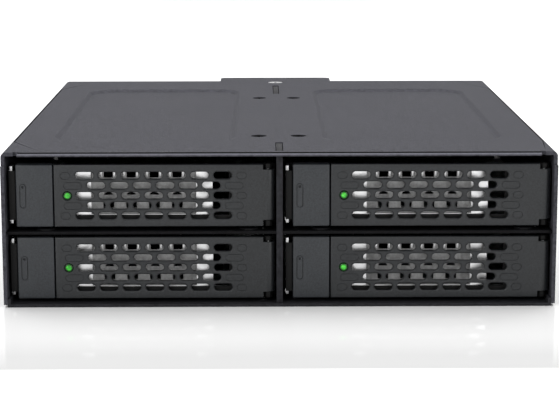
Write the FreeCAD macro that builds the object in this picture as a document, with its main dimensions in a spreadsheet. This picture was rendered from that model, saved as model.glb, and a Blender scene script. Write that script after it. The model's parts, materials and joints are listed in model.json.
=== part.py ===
import FreeCAD, Part
import os
import re

import Sketcher

# Hot swap cage: four 2.5-inch drive trays, two by two, in the space of one half-height 5.25-inch bay.
# Millimetres. X is to the right seen from the front, Y runs from the front to the rear, Z is up.
# Every piece is drawn with Y = 0 at the cage's front edge and placed so that the origin is
# under the middle of the whole cage. Tray pieces start at the left bottom corner of their front.

DRIVING_SIZES = {
    # the drive that each tray carries, and the room kept round it
    "drive_width": 69.85,
    "drive_length": 100.2,
    "drive_height": 15.0,
    "drive_side": 0.65,
    "drive_gap": 0.5,
    "drive_screw_across": 61.72,
    "drive_screw_along": 76.6,
    "drive_screw_rear": 14.0,
    # sheet metal of the cage
    "steel": 1.0,
    "pan_steel": 0.8,
    "pan_flange": 2.2,
    "wall_lift": 0.7,
    "divider": 1.7,
    "divider_inset": 1.0,
    "shelf_steel": 0.8,
    "shelf_inset": 1.2,
    "rear_steel": 1.0,
    "rear_bay": 45.0,
    "head_room": 0.7,
    "slip": 0.1,
    # pressed panels, slots and screws of the top
    "panel_sink": 0.8,
    "panel_slope": 1.4,
    "panel_inner": 12.0,
    "panel_outer": 62.0,
    "panel_front": 20.5,
    "panel_rear": 141.0,
    "panel_corner": 11.0,
    "lock_slot": 2.0,
    "front_lock_start": 3.0,
    "front_lock_end": 18.5,
    "rear_lock_start": 128.0,
    "rear_lock_end": 151.0,
    "lock_tab_short": 0.2,
    "cover_screw_side": 5.5,
    "cover_screw_front": 31.0,
    "cover_screw_rear": 117.0,
    "cover_head_radius": 2.2,
    "thread_radius": 1.25,
    "shank_radius": 1.2,
    "shank_length": 2.4,
    "lug_reach": 9.0,
    "lug_half": 6.0,
    "lug_steel": 1.0,
    "rear_screw_depth": 161.5,
    "rear_head_radius": 2.6,
    # front lip with its notched and drilled corners
    "lip": 0.9,
    "lip_groove": 0.3,
    "lip_groove_depth": 0.4,
    "corner_notch": 4.4,
    "corner_notch_drop": 3.6,
    "corner_hole_inset": 2.4,
    "corner_hole_depth": 4.6,
    "corner_hole_radius": 0.9,
    # tab over the fan
    "tab_reach": 10.5,
    "tab_width": 38.2,
    "tab_corner": 1.8,
    "tab_slot_inner": 4.0,
    "tab_slot_outer": 14.8,
    "tab_slot_width": 1.1,
    "tab_slot_edge": 0.9,
    # fixing holes of a 5.25-inch device
    "bay_hole_front": 47.4,
    "bay_hole_along": 79.25,
    "bay_hole_low": 10.0,
    "bay_hole_high": 21.84,
    "bay_hole_across": 139.7,
    # shelf tabs and pressed studs
    "shelf_tab": 10.0,
    "shelf_tab_front": 22.0,
    "shelf_tab_pitch": 40.0,
    "stud_radius": 2.4,
    "stud_rise": 0.5,
    "stud_side": 7.5,
    "stud_shift": 0.6,
    "stud_depth": 4.6,
    "board_lug_side": 25.0,
    "board_lug_width": 9.0,
    "board_lug_rise": 8.0,
    # backplane with its sockets and ports
    "board": 1.6,
    "board_top": 1.4,
    "board_notch": 10.3,
    "vent_width": 7.0,
    "vent_low": 5.0,
    "vent_high": 17.0,
    "vent_pitch": 10.0,
    "socket_depth": 8.2,
    "socket_width": 38.0,
    "socket_height": 5.2,
    "socket_shift": -12.0,
    "socket_rise": 4.2,
    "socket_wall": 0.9,
    "socket_floor": 2.0,
    "socket_share": 0.64,
    "pan_head": 1.5,
    "port_depth": 9.0,
    "port_width": 14.0,
    "port_height": 6.4,
    "port_wall": 1.0,
    "port_side": 34.0,
    "port_pitch": 19.0,
    "port_low": 9.0,
    "power_width": 24.0,
    "power_low": 27.0,
    # rear panel
    "rear_window_inner": 23.5,
    "rear_window_outer": 67.5,
    "rear_window_low": 4.5,
    "rear_window_high": 36.0,
    "rear_window_nip": 2.0,
    "rear_flange": 8.0,
    "grille_hole": 2.3,
    "grille_pitch": 5.6,
    # fan
    "fan_lift": 0.3,
    "fan_depth": 10.0,
    "fan_wall": 1.0,
    "fan_corner": 3.0,
    "fan_screw_inset": 4.0,
    "fan_screw_radius": 1.45,
    "fan_hole_radius": 1.6,
    "fan_head_radius": 2.6,
    "fan_hub": 10.2,
    "blade_root": 8.2,
    "blade_clear": 1.4,
    "fan_hub_start": 0.8,
    "fan_hub_length": 6.2,
    "fan_motor": 10.8,
    "fan_motor_length": 2.0,
    "fan_shaft": 1.0,
    "fan_shaft_clear": 0.05,
    "fan_strut": 1.8,
    "blade_steel": 0.9,
    "blade_chord": 8.4,
    "blade_pitch": 42.0,
    "blade_count": 7,
    # tray
    "front_recess": 2.0,
    "front_drop": 1.1,
    "front_head": 0.9,
    "side_gap": 2.65,
    "far_gap": 0.4,
    "tray_steel": 0.8,
    "tray_lift": 3.1,
    "tray_side": 0.575,
    "tray_rear_short": 5.2,
    "drive_front": 9.0,
    "runner_inset": 2.4,
    "runner_gap": 0.15,
    "floor_slot": 3.6,
    "floor_slot_length": 62.0,
    "floor_slot_pitch": 10.0,
    "floor_slot_side": 12.0,
    "floor_slot_front": 22.0,
    "drive_hole_radius": 1.6,
    "wall_depth": 2.5,
    "wall_start": 12.6,
    "wall_end": 51.7,
    "wall_top": 1.4,
    "wall_window_start": 19.6,
    "wall_window_end": 47.3,
    "wall_window_edge": 1.0,
    "screen_steel": 0.5,
    "screen_lap": 1.2,
    "screen_hole": 2.4,
    "screen_hole_low": 12.6,
    "screen_hole_high": 14.8,
    "screen_arch_half": 1.4,
    "screen_arch_low": 4.5,
    "screen_arch_high": 8.9,
    "ear_left": 1.85,
    "ear_bottom": 0.6,
    "ear_top": 0.7,
    # lever
    "seam": 0.3,
    "lever_steel": 1.6,
    "knuckle": 1.85,
    "hinge_inset": 1.8,
    "pin_radius": 0.6,
    "pin_clear": 0.05,
    "notch_reach": 3.1,
    "notch_top": 1.3,
    "notch_bottom": 1.6,
    "knuckle_gap": 0.15,
    "slot_length": 4.86,
    "slot_height": 1.95,
    "slot_first": 8.03,
    "slot_pitch": 6.06,
    "slot_row": 2.68,
    "slot_low": 2.94,
    "hook_start": 1.3,
    "hook_end": 2.4,
    "hook_low": 11.6,
    "hook_high": 14.6,
    "hook_reach": 2.6,
    # black frame behind the lever
    "frame_gap": 0.25,
    "frame_plate": 0.6,
    "frame_window_start": 15.6,
    "frame_window_end": 56.0,
    "frame_window_low": 2.8,
    "frame_window_high": 15.0,
    "frame_edge": 0.4,
    "frame_step": 4.5,
    "spine": 1.0,
    "spine_gap": 0.25,
    "lug_radius": 1.15,
    "flange_start": 5.4,
    "flange_end": 6.6,
    "cheek": 0.8,
    "cheek_start": 0.6,
    "cheek_low": 1.8,
    "cheek_high": 1.8,
    # release button and its spring
    "button_width": 9.7,
    "button_face": 1.2,
    "button_wall": 1.0,
    "button_reach": 3.4,
    "button_travel": 1.5,
    "button_slack": 0.25,
    "pill_centre": 1.86,
    "pill_half": 0.85,
    "pill_length": 6.7,
    "pill_depth": 0.15,
    "spring_steel": 0.2,
    "spring_width": 3.0,
    "spring_length": 7.0,
    # status light
    "lens_radius": 1.1,
    "lens_inset": 3.5,
    "lens_hole": 1.25,
    "lens_fit": 0.05,
    "lens_sink": 0.1,
    "collar_radius": 1.7,
    "collar_end": 5.0,
}

# Worked out from the driving sizes, in the order in which they are needed.
LAYOUT = {
    "bay_width": "drive_width + 2 * drive_side",
    "half_width": "bay_width + divider / 2 + steel",
    "row_room": "drive_height + tray_lift + drive_gap",
    "row_pitch": "row_room + shelf_steel",
    "shelf_under": "pan_steel + row_room",
    "cage_top": "pan_steel + 2 * row_room + shelf_steel + head_room + panel_sink + steel",
    "drive_end": "drive_front + drive_length",
    "board_front": "drive_end + socket_depth",
    "board_back": "board_front + board",
    "cage_depth": "board_back + rear_bay + rear_steel",
    "front_edge": "-(cage_depth + tab_reach) / 2",
    "fan_size": "cage_top - steel - fan_lift",
    "fan_axis": "fan_lift + fan_size / 2",
    "fan_bore": "fan_size / 2 - fan_wall",
    "fan_screw_pitch": "fan_size - 2 * fan_screw_inset",
    "blade_reach": "fan_bore - blade_clear",
    "front_width": "bay_width - side_gap - far_gap",
    "front_height": "row_room - front_drop - front_head",
    "lever_start": "button_width + seam",
    "lever_back": "front_recess + lever_steel",
    "hinge_side": "front_width - hinge_inset",
    "hinge_depth": "front_recess + knuckle",
    "floor_left": "tray_side - side_gap",
    "floor_right": "bay_width - side_gap - tray_side",
    "floor_top": "tray_lift - front_drop",
    "floor_under": "floor_top - tray_steel",
    "wall_front": "front_recess + wall_depth",
    "tray_end": "drive_end - tray_rear_short",
    "frame_front": "lever_back + frame_gap",
    "frame_back": "frame_front + frame_plate",
    "spine_front": "hinge_depth + knuckle + spine_gap",
    "flange_front": "front_recess + flange_start",
    "flange_back": "front_recess + flange_end",
    "floor_front": "flange_back + slip",
    "post_front": "front_recess + button_face + button_travel + button_slack",
    "light_side": "lever_start + lens_inset",
    "light_height": "slot_low + 2 * slot_row",
}

ROWS = {"lower": "pan_steel + front_drop", "upper": "pan_steel + front_drop + row_pitch"}
COLUMNS = {"left": "-half_width + steel + side_gap", "right": "divider / 2 + side_gap"}

doc = FreeCAD.newDocument("HotSwapCage")
sizes = doc.addObject("Spreadsheet::Sheet", "Sizes")
for row, (word, value) in enumerate(DRIVING_SIZES.items(), start=1):
    sizes.set(f"A{row}", str(value))
    sizes.setAlias(f"A{row}", word)
layout = doc.addObject("Spreadsheet::Sheet", "Layout")


def named(text):
    """Put the right sheet's name before each size in an expression."""
    def sheet_word(match):
        word = match.group()
        if word in DRIVING_SIZES:
            return f"Sizes.{word}"
        return f"Layout.{word}" if word in LAYOUT else word
    return re.sub(r"[a-z_]+", sheet_word, text)


for row, (word, text) in enumerate(LAYOUT.items(), start=1):
    layout.set(f"A{row}", "=" + named(text))
    layout.setAlias(f"A{row}", word)
    doc.recompute()


def number(text):
    """The present value of an expression."""
    value = layout.evalExpression(named(text))
    return float(getattr(value, "Value", value))


def piece(label, across="0", up="0"):
    """A sub-part: a body of its own, placed from the front edge of the cage."""
    body = doc.addObject("PartDesign::Body", label)
    body.Label = label
    body.setExpression("Placement.Base.x", named(across))
    body.setExpression("Placement.Base.y", named("front_edge"))
    body.setExpression("Placement.Base.z", named(up))
    return body


class Drawing:
    """A sketch whose every point is bound to the sheets, drawn before it goes into its feature."""

    def __init__(self, body, plane, start):
        self.sketch = body.newObject("Sketcher::SketchObject", f"{body.Label}_sketch")
        role = f"{plane}_Plane"
        support = [one for one in body.Origin.OriginFeatures if one.Role == role][0]
        self.sketch.AttachmentSupport = (support, [""])
        self.sketch.MapMode = "FlatFace"
        # the normal of the XZ plane points to the front, that of the other two along their axis
        sign = "-" if plane == "XZ" else ""
        self.sketch.setExpression("AttachmentOffset.Base.z", named(f"{sign}({start})"))
        self.geometry = []
        self.constraints = []
        self.bound = []

    def fix(self, kind, index, point, text):
        """Bind one coordinate of a point, or a radius, to an expression."""
        self.bound.append((len(self.constraints), named(text)))
        if kind == "Radius":
            self.constraints.append(Sketcher.Constraint(kind, index, number(text)))
        else:
            self.constraints.append(Sketcher.Constraint(kind, -1, 1, index, point, number(text)))

    def outline(self, points):
        """A closed polygon through points given as pairs of expressions."""
        first = len(self.geometry)
        spots = [FreeCAD.Vector(number(x), number(y), 0) for x, y in points]
        count = len(points)
        for i in range(count):
            self.geometry.append(Part.LineSegment(spots[i], spots[(i + 1) % count]))
            following = first + (i + 1) % count
            self.constraints.append(Sketcher.Constraint("Coincident", first + i, 2, following, 1))
        for i, (x, y) in enumerate(points):
            self.fix("DistanceX", first + i, 1, x)
            self.fix("DistanceY", first + i, 1, y)

    def box(self, left, right, low, high):
        """A rectangle."""
        self.outline([(left, low), (right, low), (right, high), (left, high)])

    def disc(self, x, y, radius):
        """A circle."""
        centre = FreeCAD.Vector(number(x), number(y), 0)
        index = len(self.geometry)
        self.geometry.append(Part.Circle(centre, FreeCAD.Vector(0, 0, 1), number(radius)))
        self.fix("DistanceX", index, 3, x)
        self.fix("DistanceY", index, 3, y)
        self.fix("Radius", index, 0, radius)

    def octagon(self, x, y, radius):
        """A small hole or shank with eight flats at the given radius."""
        turn, corner = "22.5", f"({radius}) / cos(22.5)"
        self.outline([(f"{x} + {corner} * cos({turn} + 45 * {i})", f"{y} + {corner} * sin({turn} + 45 * {i})")
                      for i in range(8)])

    def nipped(self, left, right, low, high, nip):
        """A rectangle with its four corners cut off."""
        self.outline([
            (f"{left} + {nip}", low), (f"{right} - {nip}", low), (right, f"{low} + {nip}"),
            (right, f"{high} - {nip}"), (f"{right} - {nip}", high), (f"{left} + {nip}", high),
            (left, f"{high} - {nip}"), (left, f"{low} + {nip}")])

    def rounded(self, left, right, low, high, radius):
        """A rectangle with round corners: each corner's centre and radius are bound."""
        first = len(self.geometry)
        r = number(radius)
        corners = [
            (f"{right} - ({radius})", f"{low} + ({radius})", 270),
            (f"{right} - ({radius})", f"{high} - ({radius})", 0),
            (f"{left} + ({radius})", f"{high} - ({radius})", 90),
            (f"{left} + ({radius})", f"{low} + ({radius})", 180),
        ]
        arcs = []
        for x, y, start in corners:
            circle = Part.Circle(FreeCAD.Vector(number(x), number(y), 0), FreeCAD.Vector(0, 0, 1), r)
            turn = FreeCAD.Units.Quantity(start, FreeCAD.Units.Angle).getValueAs("rad").Value
            quarter = FreeCAD.Units.Quantity(90, FreeCAD.Units.Angle).getValueAs("rad").Value
            arcs.append(Part.ArcOfCircle(circle, turn, turn + quarter))
        for i, arc in enumerate(arcs):
            self.geometry.append(arc)
            self.geometry.append(Part.LineSegment(arc.EndPoint, arcs[(i + 1) % 4].StartPoint))
        for i, (x, y, start) in enumerate(corners):
            arc = first + 2 * i
            following = first + (2 * i + 2) % 8
            self.constraints.append(Sketcher.Constraint("Tangent", arc, 2, arc + 1, 1))
            self.constraints.append(Sketcher.Constraint("Tangent", arc + 1, 2, following, 1))
            self.fix("DistanceX", arc, 3, x)
            self.fix("DistanceY", arc, 3, y)
        self.fix("Radius", first, 0, radius)

    def done(self):
        """Put the drawn lines and their rules into the sketch."""
        self.sketch.addGeometry(self.geometry, False)
        self.sketch.addConstraint(self.constraints)
        for index, text in self.bound:
            self.sketch.setExpression(f"Constraints[{index}]", text)
        return self.sketch


def feature(body, kind, plane, start, length, shapes, taper=None):
    """Draw shapes on a plane of the body and pad or pocket them along its positive axis."""
    drawing = Drawing(body, plane, start)
    for name, *values in shapes:
        getattr(drawing, name)(*values)
    result = body.newObject(f"PartDesign::{kind}", f"{body.Label}_{kind.lower()}")
    result.Profile = drawing.done()
    result.setExpression("Length", named(length))
    result.Reversed = (plane == "XZ") == (kind == "Pad")
    if taper:
        result.setExpression("TaperAngle", named(taper))
    drawing.sketch.Visibility = False
    body.Tip = result
    return result


def add(body, plane, start, length, *shapes):
    """Material from start, over length, along the plane's axis."""
    return feature(body, "Pad", plane, start, length, shapes)


def cut(body, plane, start, length, *shapes):
    """A hole from start, over length, along the plane's axis."""
    return feature(body, "Pocket", plane, start, length, shapes)


def sink_from_top(body, top, depth, taper, *shapes):
    """A pocket that goes down from a level with sloping sides."""
    result = feature(body, "Pocket", "XY", top, depth, shapes, taper)
    result.Reversed = False
    return result


def repeat(body, original, directions):
    """Repeat a feature along one or two sketch axes: (axis, pitch, count) each."""
    pattern = body.newObject("PartDesign::LinearPattern", f"{body.Label}_pattern")
    pattern.Originals = [original]
    for suffix, (axis, pitch, count) in zip(("", "2"), directions):
        setattr(pattern, f"Direction{suffix}", (original.Profile[0], [axis]))
        setattr(pattern, f"Mode{suffix}", "Extent")
        pattern.setExpression(f"Length{suffix}", named(f"({pitch}) * {count - 1}"))
        setattr(pattern, f"Occurrences{suffix}", count)
    body.Tip = pattern
    return pattern


# ---- cage ----------------------------------------------------------------------------------

COVER_SCREWS = [(f"{sign}cover_screw_side", depth)
                for sign in ("-", "") for depth in ("cover_screw_front", "cover_screw_rear")]
SHELF_TABS = [f"shelf_tab_front + {i} * shelf_tab_pitch" for i in range(3)]
BOARD_LUGS = {"left": "-(divider / 2 + bay_width / 2) + board_lug_side",
              "right": "divider / 2 + bay_width / 2 + board_lug_side"}
BOARD_LUG_HEIGHT = "shelf_under + shelf_steel + board_lug_rise / 2"


def span(sign, near, far):
    """Left and right limits of a stretch from near to far on the side that sign gives."""
    return (f"-({far})", f"-({near})") if sign else (near, far)


def top_cover():
    """Folded steel top with both side walls, pressed panels, slots and the tab over the fan."""
    body = piece("top_cover")
    inside = "half_width - steel"
    under = "cage_top - steel"
    add(body, "XZ", "0", "cage_depth", ("outline", [
        ("-half_width", "wall_lift"), ("-half_width", "cage_top"), ("half_width", "cage_top"),
        ("half_width", "wall_lift"), (inside, "wall_lift"), (inside, under),
        (f"-({inside})", under), (f"-({inside})", "wall_lift")]))
    tab_end = "cage_depth + tab_reach"
    tab_side, tab_step = "tab_width / 2", "tab_corner / 3"
    add(body, "XY", under, "steel", ("outline", [
        (f"-{tab_side}", "cage_depth - steel"), (tab_side, "cage_depth - steel"),
        (tab_side, f"{tab_end} - 2 * tab_corner"), (f"{tab_side} - {tab_step}", f"{tab_end} - tab_corner"),
        (f"{tab_side} - tab_corner", tab_end), (f"-{tab_side} + tab_corner", tab_end),
        (f"-{tab_side} + {tab_step}", f"{tab_end} - tab_corner"),
        (f"-{tab_side}", f"{tab_end} - 2 * tab_corner")]))
    low = f"{under} - panel_sink"
    grow = "panel_slope / 2"
    panels = [span(sign, "panel_inner", "panel_outer") for sign in ("-", "")]
    add(body, "XY", low, "panel_sink", *[
        ("nipped", f"{left} - {grow}", f"{right} + {grow}", f"panel_front - {grow}", f"panel_rear + {grow}",
         "panel_corner / 2") for left, right in panels])
    sink_from_top(body, "cage_top", "panel_sink", "-atan(panel_slope / panel_sink)", *[
        ("rounded", left, right, "panel_front", "panel_rear", "panel_corner") for left, right in panels])
    notch = "half_width - corner_notch"
    cut(body, "XY", "cage_top - corner_notch_drop", "corner_notch_drop", *[
        ("box", *span(sign, notch, "half_width + slip"), "-slip", "lip + lip_groove") for sign in ("-", "")])
    cut(body, "XY", "cage_top - lip_groove_depth", "lip_groove_depth",
        ("box", f"-({notch})", notch, "lip", "lip + lip_groove"))
    cut(body, "XY", under, "steel", *[
        ("octagon", f"{sign}(half_width - corner_hole_inset)", "corner_hole_depth", "corner_hole_radius")
        for sign in ("-", "")])
    cut(body, "XY", under, "steel",
        ("box", "-lock_slot / 2", "lock_slot / 2", "front_lock_start", "front_lock_end"),
        ("box", "-lock_slot / 2", "lock_slot / 2", "rear_lock_start", "rear_lock_end"),
        *[("box", *span(sign, "tab_slot_inner", "tab_slot_outer"),
           f"{tab_end} - tab_slot_edge - tab_slot_width", f"{tab_end} - tab_slot_edge")
          for sign in ("-", "")])
    sink_from_top(body, "cage_top", "steel", "-atan((cover_head_radius - thread_radius) / steel)",
                  *[("octagon", x, y, "cover_head_radius") for x, y in COVER_SCREWS])
    sink_from_top(body, "cage_top", "steel", "-atan((rear_head_radius - thread_radius) / steel)",
                  ("octagon", "0", "rear_screw_depth", "rear_head_radius"))
    cut(body, "YZ", "-half_width", "2 * half_width",
        *[("disc", y, z, "thread_radius") for y in ("bay_hole_front", "bay_hole_front + bay_hole_along")
          for z in ("bay_hole_low", "bay_hole_high")],
        *[("box", start, f"{start} + shelf_tab", "shelf_under - slip", "shelf_under + shelf_steel + slip")
          for start in SHELF_TABS])
    return body


def base_pan():
    """Flat steel base with short flanges up inside the walls."""
    body = piece("base_pan")
    inside = "half_width - steel"
    add(body, "XZ", "0", "cage_depth - rear_steel", ("outline", [
        (f"-({inside})", "0"), (inside, "0"), (inside, "pan_flange"), (f"{inside} - pan_steel", "pan_flange"),
        (f"{inside} - pan_steel", "pan_steel"), (f"-({inside} - pan_steel)", "pan_steel"),
        (f"-({inside} - pan_steel)", "pan_flange"), (f"-({inside})", "pan_flange")]))
    cut(body, "XY", "0", "pan_steel",
        *[("disc", f"{sign}bay_hole_across / 2", y, "thread_radius") for sign in ("-", "")
          for y in ("bay_hole_front", "bay_hole_front + bay_hole_along")],
        *[("box", "-lock_slot / 2", "lock_slot / 2", start, f"{start} + shelf_tab") for start in SHELF_TABS])
    return body


def centre_divider():
    """Upright sheet between the columns, with tabs up into the top and down into the base."""
    body = piece("centre_divider")
    under = "cage_top - steel"
    rib = f"{under} - board_notch"
    tab_top = "cage_top - lock_tab_short"
    add(body, "YZ", "-divider / 2", "divider", ("outline", [
        ("divider_inset", "pan_steel"), ("board_front - slip", "pan_steel"), ("board_front - slip", rib),
        ("rear_lock_end - slip", rib), ("rear_lock_end - slip", tab_top), ("rear_lock_start + slip", tab_top),
        ("rear_lock_start + slip", under), ("front_lock_end - slip", under),
        ("front_lock_end - slip", tab_top),
        ("front_lock_start + slip", tab_top), ("front_lock_start + slip", under), ("divider_inset", under)]))
    for start in SHELF_TABS:
        add(body, "YZ", "-divider / 2", "divider",
            ("box", f"{start} + slip", f"{start} + shelf_tab - slip", "lock_tab_short", "pan_steel + steel"))
    for depth in ("cover_screw_front", "cover_screw_rear"):
        add(body, "XY", f"{under} - lug_steel", "lug_steel",
            ("box", "-lug_reach", "lug_reach", f"{depth} - lug_half", f"{depth} + lug_half"))
    cut(body, "XY", f"{under} - lug_steel", "lug_steel",
        *[("octagon", x, y, "shank_radius - slip") for x, y in COVER_SCREWS])
    cut(body, "YZ", "-divider / 2", "divider", *[
        ("box", start, f"{start} + shelf_tab", "shelf_under - slip", "shelf_under + shelf_steel + slip")
        for start in SHELF_TABS])
    return body


def shelf(side):
    """Middle shelf of one column: plate with tabs, pressed studs and a lug for the backplane."""
    body = piece(f"{side}_shelf")
    sign = "-" if side == "left" else ""
    wall = "half_width - steel"
    add(body, "XY", "shelf_under", "shelf_steel",
        ("box", *span(sign, "divider / 2", wall), "shelf_inset", "board_front - slip"))
    for start in SHELF_TABS:
        add(body, "XY", "shelf_under", "shelf_steel",
            ("box", *span(sign, "slip", "half_width - slip"),
             f"{start} + slip", f"{start} + shelf_tab - slip"))
    lug = BOARD_LUGS[side]
    add(body, "XZ", "board_front - slip - shelf_steel", "shelf_steel",
        ("box", f"{lug} - board_lug_width / 2", f"{lug} + board_lug_width / 2",
         "shelf_under", "shelf_under + shelf_steel + board_lug_rise"))
    cut(body, "XZ", "board_front - slip - shelf_steel", "shelf_steel",
        ("octagon", lug, BOARD_LUG_HEIGHT, "shank_radius + slip"))
    near = f"{COLUMNS[side]} + stud_side"
    far = f"{COLUMNS[side]} + front_width - stud_side + stud_shift"
    add(body, "XY", "shelf_under", "shelf_steel + stud_rise",
        ("octagon", near, "stud_depth", "stud_radius"), ("octagon", far, "stud_depth", "stud_radius"))
    return body


def rear_panel():
    """Rear sheet with cable windows, a drilled guard over the fan and two flanges along the walls."""
    body = piece("rear_panel")
    inside = "half_width - steel"
    top = "cage_top - steel"
    front = "cage_depth - rear_steel"
    add(body, "XZ", front, "rear_steel", ("box", f"-({inside})", inside, "0", top))
    for sign in ("-", ""):
        add(body, "YZ", f"{sign}({inside})" if sign else f"{inside} - rear_steel", "rear_steel",
            ("box", f"{front} - rear_flange", front, "rear_window_low", "rear_window_high"))
    add(body, "XY", f"{top} - rear_steel", "rear_steel",
        ("box", "-lug_reach", "lug_reach", f"{front} - rear_flange", front))
    cut(body, "XY", f"{top} - rear_steel", "rear_steel",
        ("octagon", "0", "rear_screw_depth", "shank_radius - slip"))
    cut(body, "XZ", front, "rear_steel",
        *[("nipped", *span(sign, "rear_window_inner", "rear_window_outer"),
           "rear_window_low", "rear_window_high", "rear_window_nip") for sign in ("-", "")],
        *[("octagon", f"{sx}fan_screw_pitch / 2", f"fan_axis {sz} fan_screw_pitch / 2", "fan_screw_radius")
          for sx in ("-", "") for sz in ("-", "+")])
    rise = "grille_pitch * sqrt(3) / 2"
    for row, count in ((-2, 3), (-1, 4), (0, 5), (1, 4), (2, 3)):
        start = f"-({count - 1}) / 2 * grille_pitch"
        height = f"fan_axis + {row} * {rise}"
        hole = cut(body, "XZ", front, "rear_steel", ("outline", [
            (f"{start} + grille_hole * sin(60 * {i})", f"{height} + grille_hole * cos(60 * {i})")
            for i in range(6)]))
        repeat(body, hole, [("H_Axis", "grille_pitch", count)])
    return body


def backplane_board():
    """Circuit board across both columns, standing on the base and notched for the divider."""
    body = piece("backplane_board")
    edge = "half_width - steel - pan_steel - slip"
    top = "cage_top - steel - board_top"
    notch = "cage_top - steel - board_notch - slip"
    half_notch = "divider / 2 + slip"
    add(body, "XZ", "board_front", "board", ("outline", [
        (f"-({edge})", "pan_steel"), (edge, "pan_steel"), (edge, top), (half_notch, top), (half_notch, notch),
        (f"-({half_notch})", notch), (f"-({half_notch})", top), (f"-({edge})", top)]))
    cut(body, "XZ", "board_front", "board", *[
        ("octagon", lug, BOARD_LUG_HEIGHT, "shank_radius + slip") for lug in BOARD_LUGS.values()])
    vent = cut(body, "XZ", "board_front", "board",
               ("box", "-vent_pitch - vent_width / 2", "-vent_pitch + vent_width / 2",
                "vent_low", "vent_high"))
    repeat(body, vent, [("H_Axis", "vent_pitch", 3)])
    return body


def drive_socket(column, row):
    """Socket that a drive's plug enters: a shell with a wide and a narrow cavity."""
    body = piece(f"{row}_{column}_socket", COLUMNS[column], ROWS[row])
    middle = "front_width / 2 + socket_shift"
    left, right = f"{middle} - socket_width / 2", f"{middle} + socket_width / 2"
    low, high = "floor_top + socket_rise - socket_height / 2", "floor_top + socket_rise + socket_height / 2"
    parting = f"{left} + socket_width * socket_share"
    add(body, "XZ", "drive_end", "socket_depth", ("box", left, right, low, high))
    inner = (f"{low} + socket_wall", f"{high} - socket_wall")
    cut(body, "XZ", "drive_end", "socket_depth - socket_floor",
        ("box", f"{left} + socket_wall", parting, *inner),
        ("box", f"{parting} + socket_wall", f"{right} - socket_wall", *inner))
    return body


def port(label, across, width, low):
    """Plug housing on the rear of the backplane, open to the rear."""
    body = piece(label)
    left, right = f"{across} - {width} / 2", f"{across} + {width} / 2"
    add(body, "XZ", "board_back", "port_depth", ("box", left, right, low, f"{low} + port_height"))
    cut(body, "XZ", "board_back + socket_floor", "port_depth - socket_floor",
        ("box", f"{left} + port_wall", f"{right} - port_wall",
         f"{low} + port_wall", f"{low} + port_height - port_wall"))
    add(body, "XZ", "board_back", "port_depth - port_wall",
        ("box", f"{left} + 2 * port_wall", f"{right} - 2 * port_wall",
         f"{low} + port_height / 2 - port_wall / 2", f"{low} + port_height / 2 + port_wall / 2"))
    return body


def screw_group(label, spots, top, head_radius):
    """Countersunk screws standing upright, their heads flush in the sheet."""
    body = piece(label)
    heads = feature(body, "Pad", "XY", f"{top} - slip", "steel - slip",
                    [("octagon", x, y, f"{head_radius} - 2 * slip") for x, y in spots],
                    f"-atan(({head_radius} - thread_radius) / steel)")
    heads.Reversed = True
    add(body, "XY", f"{top} - shank_length", "shank_length - steel",
        *[("octagon", x, y, "shank_radius - 2 * slip") for x, y in spots])
    return body


def board_screws():
    """Two pan-head screws that hold the backplane to the shelf lugs."""
    body = piece("board_screws")
    spots = [(lug, BOARD_LUG_HEIGHT) for lug in BOARD_LUGS.values()]
    add(body, "XZ", "board_front - shelf_steel - slip", "board + shelf_steel + slip",
        *[("octagon", x, z, "shank_radius") for x, z in spots])
    add(body, "XZ", "board_back", "pan_head", *[("octagon", x, z, "cover_head_radius") for x, z in spots])
    return body


# ---- fan -----------------------------------------------------------------------------------

def fan_frame():
    """Square moulded duct with corner holes, a motor cup on four struts and the shaft bush."""
    body = piece("fan_frame", "0", "fan_axis")
    half = "fan_size / 2"
    back = "cage_depth + fan_depth"
    holes = [(f"{sx}fan_screw_pitch / 2", f"{sz}fan_screw_pitch / 2") for sx in ("-", "") for sz in ("-", "")]
    add(body, "XZ", "cage_depth", "fan_depth",
        ("nipped", f"-{half}", half, f"-{half}", half, "fan_corner / 2"))
    cut(body, "XZ", "cage_depth", "fan_depth", ("disc", "0", "0", "fan_bore"),
        *[("octagon", x, z, "fan_hole_radius") for x, z in holes])
    for wide, tall in (("fan_bore + slip", "fan_strut / 2"), ("fan_strut / 2", "fan_bore + slip")):
        add(body, "XZ", f"{back} - fan_motor_length", "fan_motor_length",
            ("box", f"-({wide})", wide, f"-({tall})", tall))
    add(body, "XZ", f"{back} - fan_motor_length", "fan_motor_length", ("disc", "0", "0", "fan_motor"))
    cut(body, "XZ", f"{back} - fan_motor_length", "fan_motor_length - slip",
        ("disc", "0", "0", "fan_shaft + fan_shaft_clear"))
    return body


def fan_rotor():
    """Hub cup with its shaft and a ring of pitched blades."""
    body = piece("fan_rotor", "0", "fan_axis")
    start = "cage_depth + fan_hub_start"
    add(body, "XZ", start, "fan_hub_length", ("disc", "0", "0", "fan_hub"))
    add(body, "XZ", start, "fan_depth - fan_hub_start - 4 * slip", ("disc", "0", "0", "fan_shaft"))
    middle = f"{start} + fan_hub_length / 2"
    along, rise = "blade_chord / 2 * sin(blade_pitch)", "blade_chord / 2 * cos(blade_pitch)"
    thick_along, thick_rise = "blade_steel / 2 * cos(blade_pitch)", "blade_steel / 2 * sin(blade_pitch)"
    blade = add(body, "YZ", "blade_root", "blade_reach - blade_root", ("outline", [
        (f"{middle} + ({a} * {along}) + ({b} * {thick_along})", f"({a} * {rise}) - ({b} * {thick_rise})")
        for a, b in ((-1, -1), (1, -1), (1, 1), (-1, 1))]))
    doc.recompute()
    ring = body.newObject("PartDesign::PolarPattern", "fan_blades")
    ring.Originals = [blade]
    axis = [one for one in body.Origin.OriginFeatures if one.Role == "Y_Axis"][0]
    ring.Axis = (axis, [""])
    ring.Angle = 360
    ring.setExpression("Occurrences", named("blade_count"))
    body.Tip = ring
    return body


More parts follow.
